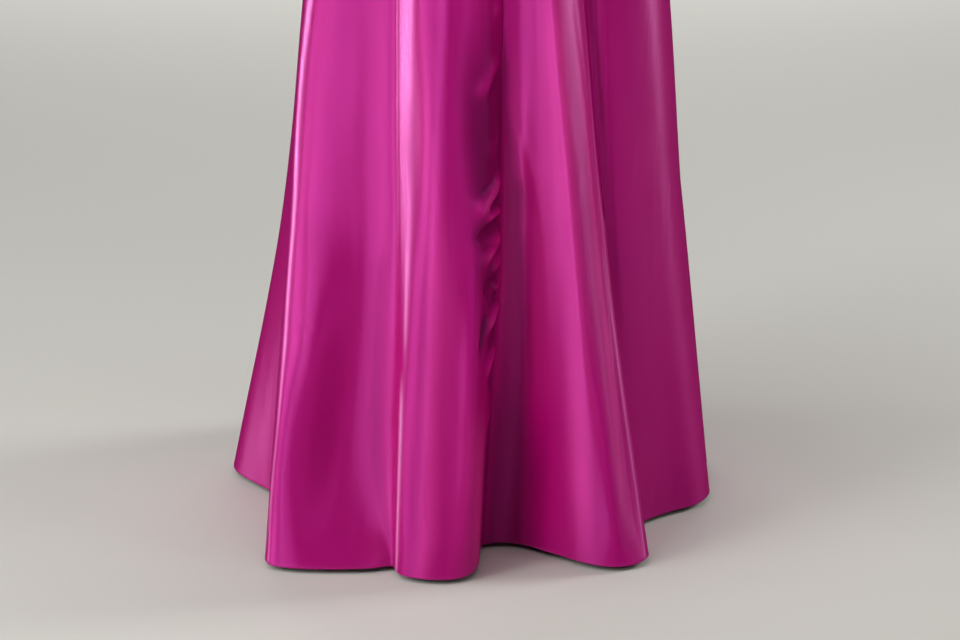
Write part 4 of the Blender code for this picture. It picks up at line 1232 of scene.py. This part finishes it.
# Every soft light has a diffuse part and a part that only the satin's sheen sees.
CLOTH_LIGHTS = (
    # azimuth elevation distance forward level  width  tall  watts, sheen watts
    (-110,  0, 2.80, 0.00, -0.95, 0.55, 1.0,  0.0,  2.7),
    (-104,  0, 2.80, 0.00, -0.95, 0.55, 1.0,  0.0, 24.6),      # rim from the left
    (-72,   0, 2.80, 0.00, -0.95, 0.55, 1.0,  0.0,  8.0),
    (-60,   0, 2.80, 0.00, -0.95, 0.55, 1.0,  0.0,  6.4),
    (-52,   0, 2.80, 0.00, -0.95, 0.55, 1.0,  1.7, 13.3),
    (-44,   0, 2.80, 0.00, -0.95, 0.55, 1.0,  4.6, 12.5),
    (-34,   0, 2.80, 0.00, -0.95, 0.55, 1.0, 16.5, 14.5),
    (-22,   0, 2.80, 0.00, -0.95, 0.55, 1.0,  1.3,  3.6),
    (6,     0, 2.80, 0.00, -0.95, 0.55, 1.0,  0.0,  0.9),
    (84,    0, 2.80, 0.00, -0.95, 0.55, 1.0,  2.0,  0.0),
    (112,   0, 2.80, 0.00, -0.95, 0.55, 1.0,  0.0,  0.9),
    (-34,   0, 2.80, 0.00,  0.25, 0.55, 1.4, 17.4,  0.0),
    (-8,    0, 2.80, 0.00,  0.25, 0.55, 1.4,  3.0,  6.0),
    (20,    0, 2.80, 0.00,  0.25, 0.55, 1.4,  0.0,  4.0),
    (84,    0, 2.80, 0.00,  0.25, 0.55, 1.4,  0.0,  2.4),
    (112,   0, 2.80, 0.00,  0.25, 0.55, 1.4, 33.0, 46.0),
    (60,    0, 1.15, 0.00, -1.21, 0.20, 0.5,  0.9,  0.6),
    (-96,  -8, 1.90, 0.15, -1.05, 0.35, 0.4,  0.0,  1.2),
    (-88,  -8, 1.90, 0.15, -1.05, 0.35, 0.4,  8.0,  0.0),
    (0,    42, 2.80, 0.00, -0.90, 1.20, 1.0,  0.0,  1.0),
    (30,   66, 2.60, 0.00, -0.90, 1.00, 1.0,  0.0,  4.3),
    (45,   50, 2.60, 0.00, -1.10, 0.70, 0.7,  9.0,  5.0),      # into the deep fold
    (60,   66, 2.60, 0.00, -0.90, 1.00, 1.0, 10.0,  6.0),
    (180,  30, 3.20, 0.00, -0.70, 2.20, 1.6, 16.0,  9.0),      # from behind
)
FLOOR_STRIPS = (
    (-90,   0.25, 0.75, 1.4, 16.0),
    (-52,   0.25, 0.75, 1.4, 30.0),
    (-70,   0.25, 0.75, 1.4, 14.0),
    (-110,  0.25, 0.75, 1.4,  3.0),
    (65,    0.25, 0.75, 1.4, 12.0),
    (105,   0.25, 0.75, 1.4, 60.0),
    (-52,  -0.95, 0.75, 1.0,  8.0),
    (-70,  -0.95, 0.75, 1.0,  5.0),
    (-58,  -0.70, 0.90, 0.7,  8.0),
)
cloth_only = bpy.data.collections.new("lit_cloth")
floor_only = bpy.data.collections.new("lit_floor")
floor_only.objects.link(floor)
for n, (azimuth, elevation, distance, forward, level, wide, tall, *parts) in enumerate(CLOTH_LIGHTS):
    for tag, watts in zip(("soft", "sheen"), parts):
        if watts > 0:
            lamp = softbox(f"cloth_{tag}_{n}", azimuth, elevation, distance, (wide, tall), watts,
                           aim=(0.0, -forward, level))
            lamp.visible_glossy = tag == "sheen"
            lamp.visible_diffuse = tag == "soft"
            lamp.light_linking.receiver_collection = cloth_only
for n, (azimuth, level, wide, tall, watts) in enumerate(FLOOR_STRIPS):
    lamp = softbox(f"floor_strip_{n}", azimuth, 0.0, 2.8, (wide, tall), watts, aim=(0.0, 0.0, level))
    lamp.light_linking.receiver_collection = floor_only
for name, azimuth, elevation, distance, size, watts, aim in (
        ("backdrop", 180, 60, 2.5, (6.0, 1.5), 136.0, (0, 3.5, -1.48)),
        ("top_left", -60, 50, 3.0, (2.0, 1.5), 20.0, (0, 0, -0.8)),
        ("front_fill", 0, 82, 0.98, (0.9, 0.6), 2.4, (-0.15, -0.60, -1.47)),
        ("top", 0, 89, 2.2, (2.5, 2.5), 8.0, (0, 0, 0.2))):
    lamp = softbox(name, azimuth, elevation, distance, size, watts, aim=aim)
    lamp.light_linking.receiver_collection = floor_only

world = bpy.data.worlds.new("studio")
world.use_nodes = True
bg = world.node_tree.nodes["Background"]
bg.inputs["Color"].default_value = (0.80, 0.80, 0.77, 1)
bg.inputs["Strength"].default_value = 0.02
sky = world.node_tree.nodes.new("ShaderNodeBackground")
sky.inputs["Color"].default_value = (*HORIZON, 1)
seen = world.node_tree.nodes.new("ShaderNodeLightPath")
either = world.node_tree.nodes.new("ShaderNodeMixShader")
world.node_tree.links.new(seen.outputs["Is Camera Ray"], either.inputs["Fac"])
world.node_tree.links.new(bg.outputs[0], either.inputs[1])
world.node_tree.links.new(sky.outputs[0], either.inputs[2])
world.node_tree.links.new(either.outputs[0], world.node_tree.nodes["World Output"].inputs["Surface"])
bpy.context.scene.world = world
bpy.context.scene.view_settings.view_transform = "Standard"

for obj in bpy.context.scene.objects:
    if obj.type == "MESH" and obj is not floor:
        cloth_only.objects.link(obj)

lo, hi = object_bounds()
